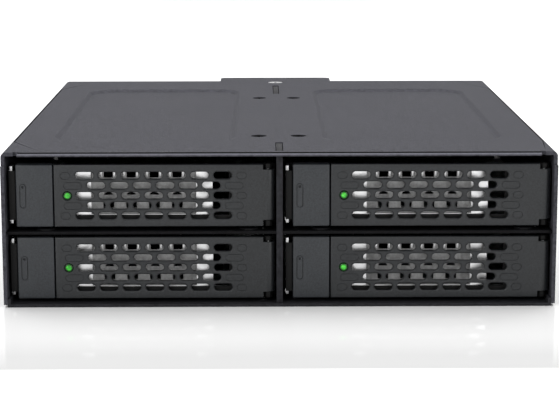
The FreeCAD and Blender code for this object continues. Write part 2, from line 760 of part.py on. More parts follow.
def fan_screws():
    """Four long screws from the rear through the fan's corners into the rear panel."""
    body = piece("fan_screws", "0", "fan_axis")
    holes = [(f"{sx}fan_screw_pitch / 2", f"{sz}fan_screw_pitch / 2") for sx in ("-", "") for sz in ("-", "")]
    add(body, "XZ", "cage_depth - rear_steel", "rear_steel + fan_depth",
        *[("octagon", x, z, "fan_screw_radius - slip / 2") for x, z in holes])
    add(body, "XZ", "cage_depth + fan_depth", "tab_reach - fan_depth",
        *[("octagon", x, z, "fan_head_radius") for x, z in holes])
    return body


# ---- tray ----------------------------------------------------------------------------------

def tray(label, across, up):
    """Sheet-metal tray: floor on two runners, front wall with a window, left ear, screw holes."""
    body = piece(label, across, up)
    runner_low = "runner_gap - front_drop"
    left, right = "floor_left + runner_inset", "floor_right - runner_inset"
    add(body, "XZ", "floor_front", "tray_end - floor_front", ("outline", [
        ("floor_left", "floor_under"), (left, "floor_under"), (left, runner_low),
        (f"{left} + tray_steel", runner_low), (f"{left} + tray_steel", "floor_under"),
        (f"{right} - tray_steel", "floor_under"), (f"{right} - tray_steel", runner_low), (right, runner_low),
        (right, "floor_under"), ("floor_right", "floor_under"), ("floor_right", "floor_top"),
        ("floor_left", "floor_top")]))
    ear_front = "front_recess + cheek_start + 2 * tray_steel"
    ear_right = "tray_steel - ear_left"
    add(body, "XY", "floor_under", "tray_steel",
        ("box", "wall_start", "wall_end", "wall_front", "floor_front + tray_steel"))
    add(body, "XY", "floor_under", "tray_steel",
        ("box", "floor_left", ear_right, ear_front, "floor_front + tray_steel"))
    add(body, "XZ", "wall_front", "tray_steel",
        ("box", "wall_start", "wall_end", "floor_under", "front_height - wall_top"))
    cut(body, "XZ", "wall_front", "tray_steel",
        ("box", "wall_window_start", "wall_window_end", "floor_top + wall_window_edge",
         "front_height - wall_top - wall_window_edge / 2"),
        ("octagon", "light_side", "light_height", "collar_radius + slip"))
    add(body, "YZ", "-ear_left", "tray_steel",
        ("box", ear_front, "flange_back", "ear_bottom", "front_height - ear_top"))
    slot = cut(body, "XY", "floor_under", "tray_steel", (
        "box", "floor_left + floor_slot_side", "floor_left + floor_slot_side + floor_slot",
        "floor_slot_front", "floor_slot_front + floor_slot_length"))
    repeat(body, slot, [("H_Axis", "floor_slot_pitch", 5)])
    middle = "(floor_left + floor_right) / 2"
    cut(body, "XY", "floor_under", "tray_steel", *[
        ("disc", f"{middle} {side} drive_screw_across / 2", f"drive_end - drive_screw_rear - {along}",
         "drive_hole_radius")
        for side in ("-", "+") for along in ("0", "drive_screw_along")])
    return body


def front_frame(label, across, up):
    """Black moulding behind the button and lever: plate with a window, button post, cheek, hinge lugs."""
    body = piece(label, across, up)
    edge_top = "front_height - frame_edge"
    step = "hinge_side - frame_step"
    add(body, "XY", "frame_edge", "front_height - 2 * frame_edge", ("outline", [
        ("lever_start", "frame_front"), (f"{step} + spine", "frame_front"),
        (f"{step} + spine", "spine_front"), ("front_width", "spine_front"),
        ("front_width", "spine_front + spine"),
        (step, "spine_front + spine"), (step, "frame_back"), ("lever_start + cheek", "frame_back"),
        ("lever_start + cheek", "flange_back"), ("-cheek - slip * 2", "flange_back"),
        ("-cheek - slip * 2", "flange_front"), ("lever_start", "flange_front")]))
    add(body, "XY", "cheek_low", "front_height - cheek_low - cheek_high", ("outline", [
        ("-ear_left", "front_recess + cheek_start"), ("-slip * 2", "front_recess + cheek_start"),
        ("-slip * 2", "flange_back"), ("-cheek - slip * 2", "flange_back"),
        ("-cheek - slip * 2", "front_recess + cheek_start + cheek"),
        ("-ear_left", "front_recess + cheek_start + cheek")]))
    post = "button_wall + button_slack"
    add(body, "XZ", "post_front", "flange_front - post_front",
        ("box", post, f"button_width - ({post})", post, f"front_height - ({post})"))
    cut(body, "XZ", "frame_front", "frame_plate",
        ("box", "frame_window_start", "frame_window_end", "frame_window_low", "frame_window_high"),
        ("box", "lever_start + hook_start - button_slack", "lever_start + hook_end + button_slack",
         "hook_low - button_slack", "hook_high + button_slack"))
    cut(body, "XZ", "frame_front", "frame_plate",
        ("octagon", "light_side", "light_height", "lens_radius + lens_fit"))
    for low, height in (("0", "notch_bottom"), ("front_height - notch_top", "notch_top")):
        add(body, "XY", low, height, ("octagon", "hinge_side", "hinge_depth", "lug_radius"))
        add(body, "XY", low, height,
            ("box", "hinge_side - lug_radius", "hinge_side + lug_radius",
             "hinge_depth", "spine_front + spine"))
    cut(body, "XY", "0", "front_height", ("disc", "hinge_side", "hinge_depth", "pin_radius"))
    return body


def hinge_pin(label, across, up):
    """Plain pin pressed through both hinge lugs."""
    body = piece(label, across, up)
    add(body, "XY", "slip", "front_height - 2 * slip", ("disc", "hinge_side", "hinge_depth", "pin_radius"))
    return body


def lever(label, across, up):
    """Vented front lever: plate with a rolled knuckle, five rows of slots, light hole and latch hook."""
    body = piece(label, across, up)
    add(body, "XZ", "front_recess", "lever_steel", ("box", "lever_start", "hinge_side", "0", "front_height"))
    barrel_low, barrel_high = "notch_bottom + knuckle_gap", "front_height - notch_top - knuckle_gap"
    add(body, "XY", barrel_low, f"{barrel_high} - ({barrel_low})",
        ("disc", "hinge_side", "hinge_depth", "knuckle"))
    notch = "front_width - notch_reach"
    cut(body, "XZ", "front_recess", "lever_steel",
        ("box", notch, "front_width", "-slip", barrel_low),
        ("box", notch, "front_width", barrel_high, "front_height + slip"))
    cut(body, "XY", "0", "front_height", ("disc", "hinge_side", "hinge_depth", "pin_radius + pin_clear"))
    half, rise = "slot_length / 2", "slot_height / 2"
    for first, count, row, rows in (("slot_first", 7, 0, 3), ("slot_first + slot_pitch / 2", 6, 1, 2)):
        x, z = f"lever_start + {first}", f"slot_low + {row} * slot_row"
        slot = cut(body, "XZ", "front_recess", "lever_steel",
                   ("box", f"{x} - {half}", f"{x} + {half}", f"{z} - {rise}", f"{z} + {rise}"))
        repeat(body, slot, [("H_Axis", "slot_pitch", count), ("V_Axis", "2 * slot_row", rows)])
    cut(body, "XZ", "front_recess", "lever_steel", ("octagon", "light_side", "light_height", "lens_hole"))
    add(body, "XZ", "front_recess + lever_steel / 2", "lever_steel / 2 + hook_reach",
        ("box", "lever_start + hook_start", "lever_start + hook_end", "hook_low", "hook_high"))
    return body


def release_button(label, across, up):
    """Moulded cap that slides over the post of the frame, with a shallow grip mark."""
    body = piece(label, across, up)
    add(body, "XZ", "front_recess", "button_reach", ("box", "0", "button_width", "0", "front_height"))
    cut(body, "XZ", "front_recess + button_face", "button_reach - button_face",
        ("box", "button_wall", "button_width - button_wall", "button_wall", "front_height - button_wall"))
    cut(body, "XZ", "front_recess", "pill_depth", (
        "nipped", "pill_centre - pill_half", "pill_centre + pill_half",
        "front_height / 2 - pill_length / 2", "front_height / 2 + pill_length / 2", "pill_half / 2"))
    return body


def button_spring(label, across, up):
    """Bent leaf between the post and the inside of the button."""
    body = piece(label, across, up)
    crown = "front_recess + button_face"
    middle, foot, bend = "front_height / 2", "spring_length / 2", "spring_length / 8"
    add(body, "YZ", "button_width / 2 - spring_width / 2", "spring_width", ("outline", [
        ("post_front", f"{middle} - {foot}"), (crown, f"{middle} - {bend}"), (crown, f"{middle} + {bend}"),
        ("post_front", f"{middle} + {foot}"), ("post_front", f"{middle} + {foot} - 2 * spring_steel"),
        (f"{crown} + spring_steel", f"{middle} + {bend} - spring_steel / 2"),
        (f"{crown} + spring_steel", f"{middle} - {bend} + spring_steel / 2"),
        ("post_front", f"{middle} - {foot} + 2 * spring_steel")]))
    return body


def vent_screen(label, across, up):
    """Perforated sheet behind the window of the tray's front wall."""
    body = piece(label, across, up)
    back = "wall_front + tray_steel"
    add(body, "XZ", back, "screen_steel", (
        "box", "wall_window_start - screen_lap", "wall_window_end + screen_lap",
        "floor_top + slip", "front_height - wall_top"))
    first = "lever_start + slot_first + slot_pitch"
    holes = cut(body, "XZ", back, "screen_steel",
                ("box", f"{first} - screen_hole / 2", f"{first} + screen_hole / 2",
                 "screen_hole_low", "screen_hole_high"))
    repeat(body, holes, [("H_Axis", "slot_pitch", 4)])
    wide, low, high = "screen_arch_half", "screen_arch_low", "screen_arch_high"
    arches = cut(body, "XZ", back, "screen_steel", ("outline", [
        (f"{first} - {wide}", low), (f"{first} + {wide}", low), (f"{first} + {wide}", f"{high} - {wide}"),
        (f"{first} + {wide} * 0.7", f"{high} - {wide} * 0.3"), (first, high),
        (f"{first} - {wide} * 0.7", f"{high} - {wide} * 0.3"), (f"{first} - {wide}", f"{high} - {wide}")]))
    repeat(body, arches, [("H_Axis", "slot_pitch", 4)])
    return body


def light_pipe(label, across, up):
    """Clear pipe from the status light to the front, with a collar behind the frame."""
    body = piece(label, across, up)
    add(body, "XZ", "front_recess + lens_sink", "frame_back - front_recess",
        ("disc", "light_side", "light_height", "lens_radius"))
    add(body, "XZ", "frame_back", "collar_end - frame_back + front_recess",
        ("octagon", "light_side", "light_height", "collar_radius"))
    return body


def build():
    """Every sub-part of the cage, in the order in which it would be put together."""
    parts = [base_pan(), centre_divider(), shelf("left"), shelf("right"), top_cover()]
    parts.append(screw_group("cover_screws", COVER_SCREWS, "cage_top", "cover_head_radius"))
    parts.append(screw_group("rear_screw", [("0", "rear_screw_depth")], "cage_top", "rear_head_radius"))
    parts += [backplane_board(), board_screws(), rear_panel(), fan_frame(), fan_rotor(), fan_screws()]
    for sign, side in (("-", "left"), ("", "right")):
        for name, out, width, low in (("power", "port_pitch / 2", "power_width", "power_low"),
                                      ("inner_data", "0", "port_width", "port_low"),
                                      ("outer_data", "port_pitch", "port_width", "port_low")):
            parts.append(port(f"{side}_{name}_port", f"{sign}(port_side + {out})", width, low))
    for row, up in ROWS.items():
        for column, across in COLUMNS.items():
            parts.append(drive_socket(column, row))
            for name, make in (("tray", tray), ("frame", front_frame), ("screen", vent_screen),
                               ("light", light_pipe), ("pin", hinge_pin), ("lever", lever),
                               ("button", release_button), ("spring", button_spring)):
                parts.append(make(f"{row}_{column}_{name}", across, up))
    return parts


def check(parts):
    """Stop on a failed object, a broken shape or a pocket that took nothing away."""
    for item in doc.Objects:
        if "Invalid" in item.State or "Error" in item.State:
            raise RuntimeError(f"{item.Label} failed: {item.State}")
        if item.TypeId == "PartDesign::Pocket" and item.Shape.Volume >= item.BaseFeature.Shape.Volume - 1e-6:
            raise RuntimeError(f"{item.Label} cut nothing")
    for part in parts:
        if part.Shape.isNull() or not part.Shape.isValid():
            raise RuntimeError(f"{part.Label} has no valid shape")


def main():
    parts = build()
    doc.recompute()
    check(parts)
    os.makedirs("parts", exist_ok=True)
    for part in parts:
        part.Shape.exportStep(os.path.join("parts", f"{part.Label}.step"))


main()
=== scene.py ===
import json
import math

import bmesh
import bpy
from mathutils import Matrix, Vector


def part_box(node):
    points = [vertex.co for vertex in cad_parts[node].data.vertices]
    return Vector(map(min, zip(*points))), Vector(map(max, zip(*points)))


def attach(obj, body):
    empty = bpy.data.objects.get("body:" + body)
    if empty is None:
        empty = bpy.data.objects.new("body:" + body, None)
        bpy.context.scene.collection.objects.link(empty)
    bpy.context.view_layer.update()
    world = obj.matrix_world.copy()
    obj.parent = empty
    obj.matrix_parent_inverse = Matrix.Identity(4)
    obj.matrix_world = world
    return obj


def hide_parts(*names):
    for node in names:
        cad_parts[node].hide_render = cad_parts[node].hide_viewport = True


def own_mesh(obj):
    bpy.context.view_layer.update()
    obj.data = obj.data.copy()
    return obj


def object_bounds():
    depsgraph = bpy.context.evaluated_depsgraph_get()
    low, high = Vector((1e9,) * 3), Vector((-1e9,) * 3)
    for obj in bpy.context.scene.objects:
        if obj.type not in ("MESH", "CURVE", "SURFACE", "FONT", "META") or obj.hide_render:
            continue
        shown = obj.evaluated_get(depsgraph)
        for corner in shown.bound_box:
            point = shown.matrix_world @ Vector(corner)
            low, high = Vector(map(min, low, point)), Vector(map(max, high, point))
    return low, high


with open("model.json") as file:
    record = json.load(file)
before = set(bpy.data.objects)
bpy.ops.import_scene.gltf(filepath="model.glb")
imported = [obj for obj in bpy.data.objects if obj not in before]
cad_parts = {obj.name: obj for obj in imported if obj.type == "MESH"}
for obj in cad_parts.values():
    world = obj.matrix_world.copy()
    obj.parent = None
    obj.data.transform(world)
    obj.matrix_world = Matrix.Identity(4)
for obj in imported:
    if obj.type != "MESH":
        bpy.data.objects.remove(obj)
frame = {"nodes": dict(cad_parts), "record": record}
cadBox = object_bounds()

mm = 0.001
rows = ("lower", "upper")
columns = ("left", "right")
bays = [f"{row}_{column}" for row in rows for column in columns]
record = frame["record"]
slotOf = {part["node"]: part["material_slot"] for part in record["subparts"]}
bodyOf = {node: body for body, nodes in record["behaviour"]["bodies"].items() for node in nodes}


# Helpers for modelling: everything is deselected first, then picked by its place.

def deselectAll():
    if bpy.context.object and bpy.context.object.mode != "OBJECT":
        bpy.ops.object.mode_set(mode="OBJECT")
    bpy.ops.object.select_all(action="DESELECT")


def makeActive(piece):
    deselectAll()
    piece.select_set(True)
    bpy.context.view_layer.objects.active = piece


def startEdit(piece):
    makeActive(piece)
    bpy.ops.object.mode_set(mode="EDIT")
    bpy.ops.mesh.select_all(action="DESELECT")


def endEdit():
    bpy.ops.object.mode_set(mode="OBJECT")


def middle(part):  # centre of a vertex, edge or face, in millimetres
    if isinstance(part, bmesh.types.BMVert):
        return part.co / mm
    return sum((v.co for v in part.verts), Vector()) / len(part.verts) / mm


def pick(kind, test):  # selects the parts of the edited mesh that pass the test
    bpy.ops.mesh.select_mode(type=kind)
    bpy.ops.mesh.select_all(action="DESELECT")
    mesh = bpy.context.object.data
    form = bmesh.from_edit_mesh(mesh)
    for part in {"FACE": form.faces, "EDGE": form.edges, "VERT": form.verts}[kind]:
        if test(part):
            part.select_set(True)
    form.select_flush_mode()
    bmesh.update_edit_mesh(mesh)


def runsAlong(edge, axis):
    way = edge.verts[1].co - edge.verts[0].co
    return way.length > 0 and abs(way[axis]) > 0.999 * way.length


def addBox(name, low, high):
    bpy.ops.mesh.primitive_cube_add(size=1, location=[(a + b) / 2 * mm for a, b in zip(low, high)])
    box = bpy.context.object
    box.name = name
    box.scale = [(b - a) * mm for a, b in zip(low, high)]
    settle(box)
    return box


def addCylinder(name, centre, radius, length, axis="Y", sides=48, topRadius=None):
    turn = {"X": (0, math.pi / 2, 0), "Y": (-math.pi / 2, 0, 0), "Z": (0, 0, 0)}[axis]
    spot = [c * mm for c in centre]
    if topRadius is None:
        bpy.ops.mesh.primitive_cylinder_add(
            vertices=sides, radius=radius * mm, depth=length * mm, location=spot, rotation=turn)
    else:
        bpy.ops.mesh.primitive_cone_add(
            vertices=sides, radius1=radius * mm, radius2=topRadius * mm, depth=length * mm,
            location=spot, rotation=turn)
    rod = bpy.context.object
    rod.name = name
    settle(rod)
    return rod


def settle(piece):  # puts the place, turn and size into the mesh
    makeActive(piece)
    bpy.ops.object.transform_apply(location=True, rotation=True, scale=True)


def finishModifier(piece, kind, **settings):
    makeActive(piece)
    modifier = piece.modifiers.new(kind.title(), kind)
    for key, value in settings.items():
        setattr(modifier, key, value)
    bpy.ops.object.modifier_apply(modifier=modifier.name)


def carve(piece, tool, operation="DIFFERENCE"):
    finishModifier(piece, "BOOLEAN", operation=operation, object=tool, solver="MANIFOLD")
    bpy.data.objects.remove(tool)


def joinPieces(name, pieces):
    makeActive(pieces[0])
    for piece in pieces[1:]:
        piece.select_set(True)
    bpy.ops.object.join()
    whole = bpy.context.object
    whole.name = name
    return whole


def moveBy(piece, offset):
    piece.location = [c * mm for c in offset]
    settle(piece)


def copyTo(piece, name, offset):
    twin = piece.copy()
    twin.data = piece.data.copy()
    twin.name = name
    bpy.context.scene.collection.objects.link(twin)
    moveBy(twin, offset)
    return twin


def roundEdges(piece, width, segments=2, angle=40):
    finishModifier(piece, "BEVEL", width=width * mm, segments=segments, limit_method="ANGLE",
                   angle_limit=math.radians(angle), harden_normals=False, use_clamp_overlap=True)


def smoothBy(piece, angle=35):
    makeActive(piece)
    bpy.ops.object.shade_smooth_by_angle(angle=math.radians(angle))


def cleanCopy(node, name):  # a welded copy of a CAD node, its flat faces joined up again
    piece = frame["nodes"][node].copy()
    piece.data = piece.data.copy()
    piece.parent = None
    piece.name = name
    for key in list(piece.keys()):
        del piece[key]
    bpy.context.scene.collection.objects.link(piece)
    startEdit(piece)
    bpy.ops.mesh.select_all(action="SELECT")
    bpy.ops.mesh.remove_doubles(threshold=0.002 * mm)
    bpy.ops.mesh.dissolve_limited(angle_limit=math.radians(1), delimit={"NORMAL"})
    endEdit()
    return piece


def place(piece, material, node, replaced=()):  # gives a piece its look and its body, and hides the CAD parts it replaces
    piece.data.materials.clear()
    piece.data.materials.append(material)
    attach(piece, bodyOf[node])
    if replaced:
        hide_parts(*replaced)


# Materials: Wire is a socket that adds its own Math nodes, and Finish adds every other node.

class Wire:
    def __init__(self, finish, socket):
        self.finish = finish
        self.socket = socket

    def maths(self, operation, *others):
        inputs = dict(enumerate((self, *others)))
        return self.finish.add("ShaderNodeMath", {"operation": operation}, inputs)

    def __add__(self, other):
        return self.maths("ADD", other)

    def __sub__(self, other):
        return self.maths("SUBTRACT", other)

    def __mul__(self, other):
        return self.maths("MULTIPLY", other)

    def __radd__(self, other):
        return self + other

    def __rmul__(self, other):
        return self * other

    def __rsub__(self, other):
        return self.finish.add("ShaderNodeMath", {"operation": "SUBTRACT"}, {0: other, 1: self})

    def above(self, other):
        return self.maths("GREATER_THAN", other)

    def between(self, low, high):
        return self.above(low) * (1 - self.above(high))

    def ramp(self, low, high):  # 0 at low and 1 at high
        return self.finish.add("ShaderNodeMapRange", {"clamp": True},
                               {"Value": self, "From Min": low, "From Max": high})


class Finish:
    def __init__(self, name, **fixed):
        self.material = bpy.data.materials.new(name)
        self.material.use_nodes = True
        self.nodes = self.material.node_tree.nodes
        self.links = self.material.node_tree.links
        self.shader = self.nodes["Principled BSDF"]
        for key, value in fixed.items():
            self.shader.inputs[key.replace("_", " ")].default_value = value
        self.place = Wire(self, self.add("ShaderNodeTexCoord", {}, {}, output="Object").socket)

    def add(self, kind, settings, inputs, output=0):
        node = self.nodes.new(kind)
        for key, value in settings.items():
            setattr(node, key, value)
        for key, value in inputs.items():
            if isinstance(value, Wire):
                self.links.new(value.socket, node.inputs[key])
            else:
                node.inputs[key].default_value = value
        return Wire(self, node.outputs[output])

    def noise(self, scale, detail, roughness, vector=None):
        return self.add("ShaderNodeTexNoise", {}, {
            "Vector": vector or self.place, "Scale": scale, "Detail": detail, "Roughness": roughness})

    def stretched(self, scale):  # object coordinates, stretched for brushed or drawn marks
        return self.add("ShaderNodeMapping", {}, {"Vector": self.place, "Scale": scale})

    def axis(self, name):
        return self.add("ShaderNodeSeparateXYZ", {}, {0: self.place}, output=name)

    def blend(self, factor, first, second):
        node = self.nodes.new("ShaderNodeMix")
        node.data_type = "RGBA"
        for key, value in ((0, factor), (6, first), (7, second)):
            if isinstance(value, Wire):
                self.links.new(value.socket, node.inputs[key])
            else:
                node.inputs[key].default_value = value
        return Wire(self, node.outputs[2])

    def bump(self, height, strength, distance):
        return self.add("ShaderNodeBump", {},
                        {"Height": height, "Strength": strength, "Distance": distance * mm})

    def set(self, key, value):
        self.links.new(value.socket, self.shader.inputs[key])


def grey(level, tint=(1, 1, 1)):
    return (*[level * t for t in tint], 1)


# the last entry is the grey of a painted highlight along the cover's front lip
powder = {"grain": 2000, "clump": 950, "roughness": 0.6, "tint": (0.98, 0.98, 1.16), "worn": 0.1}


def makePowderCoat(name, dark, light, specular, lip=None):
    finish = Finish(name, Specular_IOR_Level=specular)
    grain = finish.noise(powder["grain"], 4, 0.7)
    clump = finish.noise(powder["clump"], 3, 0.6)
    cloud = finish.noise(22, 3, 0.5)
    speck = 0.5 * grain.ramp(0.32, 0.7) + 0.5 * clump.ramp(0.35, 0.66)
    tone = finish.blend(speck, grey(dark, powder["tint"]), grey(light, powder["tint"]))
    if lip:  # painted highlight: the front edge of the lip is painted brighter where it catches the overhead light
        edge = (lip[0] - finish.axis("Y")).above(0) * finish.axis("Z").above(lip[1])
        tone = finish.blend(edge * (0.55 + 0.45 * speck), tone, grey(powder["worn"], powder["tint"]))
    finish.set("Base Color", tone)
    finish.set("Roughness", powder["roughness"] + 0.2 * (speck - 0.5) + 0.08 * (cloud - 0.5))
    finish.set("Normal", finish.bump(0.5 * grain + clump, 0.55, 0.1))
    return finish.material


def makeMoulded(name, dark, light, roughness, tint, specular=0.4):
    finish = Finish(name, Specular_IOR_Level=specular)
    grain = finish.noise(2300, 3, 0.65)
    cloud = finish.noise(60, 3, 0.5)
    speck = 0.75 * grain.ramp(0.3, 0.7) + 0.25 * cloud
    finish.set("Base Color", finish.blend(speck, grey(dark, tint), grey(light, tint)))
    finish.set("Roughness", roughness + 0.1 * (grain - 0.5) + 0.1 * (cloud - 0.5))
    finish.set("Normal", finish.bump(grain, 0.2, 0.04))
    return finish.material


def makeZincSheet(name, level, roughness):
    finish = Finish(name, Metallic=1.0)
    drawn = finish.noise(90, 4, 0.6, finish.stretched((1, 24, 24)))
    spangle = finish.add("ShaderNodeTexVoronoi", {}, {"Vector": finish.place, "Scale": 260.0}, output="Color")
    flake = finish.add("ShaderNodeSeparateColor", {}, {0: spangle})
    tone = finish.blend(0.6 * drawn + 0.4 * flake, grey(level * 0.84), grey(level, (1, 1, 1.01)))
    finish.set("Base Color", tone)
    finish.set("Roughness", roughness + 0.05 * (flake - 0.5) + 0.05 * (drawn - 0.5))
    finish.set("Normal", finish.bump(drawn, 0.02, 0.01))
    return finish.material


def makeScreenGrey():
    finish = Finish("screen_grey", Metallic=0.35)
    grain = finish.noise(1200, 3, 0.6)
    cloud = finish.noise(80, 2, 0.5)
    finish.set("Base Color", finish.blend(0.6 * grain.ramp(0.3, 0.7) + 0.4 * cloud, grey(0.22), grey(0.5)))
    finish.set("Roughness", 0.42 + 0.14 * (grain - 0.5))
    finish.set("Normal", finish.bump(grain, 0.12, 0.04))
    return finish.material


def makeGreenLens(name, deep, bright, glow):
    finish = Finish(name, Roughness=0.16, IOR=1.49, Emission_Strength=glow)
    core = finish.noise(900, 2, 0.5).ramp(0.35, 0.7)
    finish.set("Base Color", finish.blend(core, deep, bright))
    finish.set("Emission Color", finish.blend(core, deep, bright))
    return finish.material


def makeBlackScrew():
    finish = Finish("black_oxide", Specular_IOR_Level=0.0)
    turned = finish.noise(700, 3, 0.5)
    finish.set("Base Color", finish.blend(turned, grey(0.003), grey(0.009)))
    finish.set("Roughness", 0.5 + 0.2 * (turned - 0.5))
    finish.set("Normal", finish.bump(turned, 0.1, 0.03))
    return finish.material


def makeCircuitBoard():
    finish = Finish("solder_mask", Coat_Weight=0.4, Coat_Roughness=0.2)
    across, up = finish.axis("X"), finish.axis("Z")
    glass = finish.noise(900, 2, 0.5, finish.stretched((1, 1, 6)))
    tracks = (across * 620).maths("FRACT").between(0.42, 0.58) * up.between(0.004, 0.0095)
    pour = finish.noise(55, 1, 0.3).ramp(0.46, 0.5)
    green = finish.blend(pour, (0.006, 0.045, 0.018, 1), (0.009, 0.075, 0.028, 1))
    finish.set("Base Color", finish.blend(0.7 * tracks, green, (0.02, 0.13, 0.045, 1)))
    finish.set("Roughness", 0.38 + 0.1 * (glass - 0.5))
    finish.set("Normal", finish.bump(pour * 0.6 + tracks + 0.1 * glass, 0.2, 0.05))
    return finish.material


def makeGold():
    finish = Finish("gold_contact", Metallic=1.0)
    wipe = finish.noise(500, 3, 0.5, finish.stretched((1, 8, 1)))
    finish.set("Base Color", finish.blend(wipe, (0.83, 0.55, 0.2, 1), (0.95, 0.7, 0.32, 1)))
    finish.set("Roughness", 0.25 + 0.15 * (wipe - 0.5))
    return finish.material


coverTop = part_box("top_cover")[1].z
lipHighlightZone = (cadBox[0][1] + 0.95 * mm, coverTop - 0.7 * mm)  # painted highlight in front of this Y and above this Z
materials = {
    "black_steel": makePowderCoat("powder_coat", 0.017, 0.063, 0.06),
    "zinc_sheet": makeZincSheet("zinc_sheet", 0.8, 0.38),
    "grey_screen": makeScreenGrey(),
    "lever_plastic": makeMoulded("lever_plastic", 0.001, 0.019, 0.46, (0.88, 1.0, 1.14)),
    "button_plastic": makeMoulded("button_plastic", 0.008, 0.030, 0.48, (0.88, 1.0, 1.16)),
    "frame_plastic": makeMoulded("frame_plastic", 0.004, 0.007, 0.6, (1, 1, 1), 0.12),
    "green_lens": makeGreenLens("lens_rim", (0.0, 0.012, 0.0, 1), (0.002, 0.05, 0.002, 1), 0.4),
    "pin_steel": makeZincSheet("pin_steel", 0.62, 0.3),
    "spring_steel": makeZincSheet("spring_steel", 0.66, 0.28),
    "black_screw": makeBlackScrew(),
    "zinc_screw": makeZincSheet("zinc_screw", 0.74, 0.3),
    "circuit_board": makeCircuitBoard(),
    "socket_plastic": makeMoulded("socket_plastic", 0.008, 0.014, 0.42, (1, 1, 1)),
    "fan_plastic": makeMoulded("fan_plastic", 0.011, 0.018, 0.4, (1, 1, 1)),
}
glowingLens = makeGreenLens("lens_core", (0.002, 0.10, 0.002, 1), (0.035, 0.34, 0.02, 1), 1.1)
# the cover's coat carries the painted highlight along its front lip
coverCoat = makePowderCoat("powder_coat_cover", 0.017, 0.063, 0.06, lipHighlightZone)
# Painted shade: darker copies of the powder coat for the pan, the divider and the shelves, which sit in shade
# inside the cage.
shadedInsideCoat = makePowderCoat("powder_coat_inside", 0.003, 0.025, 0.14)
shadedShelfCoat = makePowderCoat("powder_coat_shelf", 0.001, 0.006, 0.08)
goldContact = makeGold()
for node, carried in frame["nodes"].items():
    carried.data.materials.clear()
    carried.data.materials.append(materials[slotOf[node]])
print("materials done")


# Lever: a vented plate with round-ended slots whose rims are chamfered, and a rolled hinge end.

lever = {
    "thick": 1.6, "edge": 0.28, "slotLong": 4.86, "slotTall": 1.95, "rim": 0.26, "rimDeep": 0.22,
    "first": 8.03, "pitch": 6.06, "rowPitch": 2.68, "lowest": 2.94, "perRow": (7, 6),
    "round": 0.98, "blindWidth": 0.14, "blindDeep": 0.2, "shortLong": 2.7, "soft": 0.15,
    "lensSide": 3.5, "lensHole": 1.2, "lensRim": 0.18,
    "notchReach": 3.1, "notchTop": 1.3, "notchBottom": 1.6, "knuckle": 1.85, "pinHole": 0.65,
    "knuckleGap": 0.15,
    "hook": ((1.3, 2.4), (11.6, 14.6)), "hookReach": 2.6,
}


def capsule(name, centre, long, tall, depth, rim=0.0):  # a slot-shaped cutter, wider at its mouth
    face, back = depth
    x, z = centre
    mouth = face + (lever["rimDeep"] if rim else 0)
    tool = addBox(name, (x - long / 2, mouth, z - tall / 2), (x + long / 2, back, z + tall / 2))
    startEdit(tool)
    pick("EDGE", lambda e: runsAlong(e, 1))
    bpy.ops.mesh.bevel(offset=min(long, tall) / 2 * lever["round"] * mm, segments=6, affect="EDGES")
    if rim:
        pick("FACE", lambda f: f.normal.y < -0.9)
        bpy.ops.mesh.extrude_region_move(TRANSFORM_OT_translate={"value": (0, (face - mouth) * mm, 0)})
        bpy.ops.transform.resize(value=(1 + 2 * rim / long, 1, 1 + 2 * rim / tall),
                                 center_override=(x * mm, face * mm, z * mm))
        pick("FACE", lambda f: f.normal.y < -0.9)
        bpy.ops.mesh.extrude_region_move(TRANSFORM_OT_translate={"value": (0, -0.6 * mm, 0)})
    endEdit()
    return tool


def outline(name, centre, long, tall, face, width, deep):  # a cutter for a fine groove round a slot shape
    ring = capsule(name, centre, long, tall, (face - 1, face + deep))
    inside = capsule(name, centre, long - 2 * width, tall - 2 * width, (face - 2, face + 1))
    carve(ring, inside)
    return ring


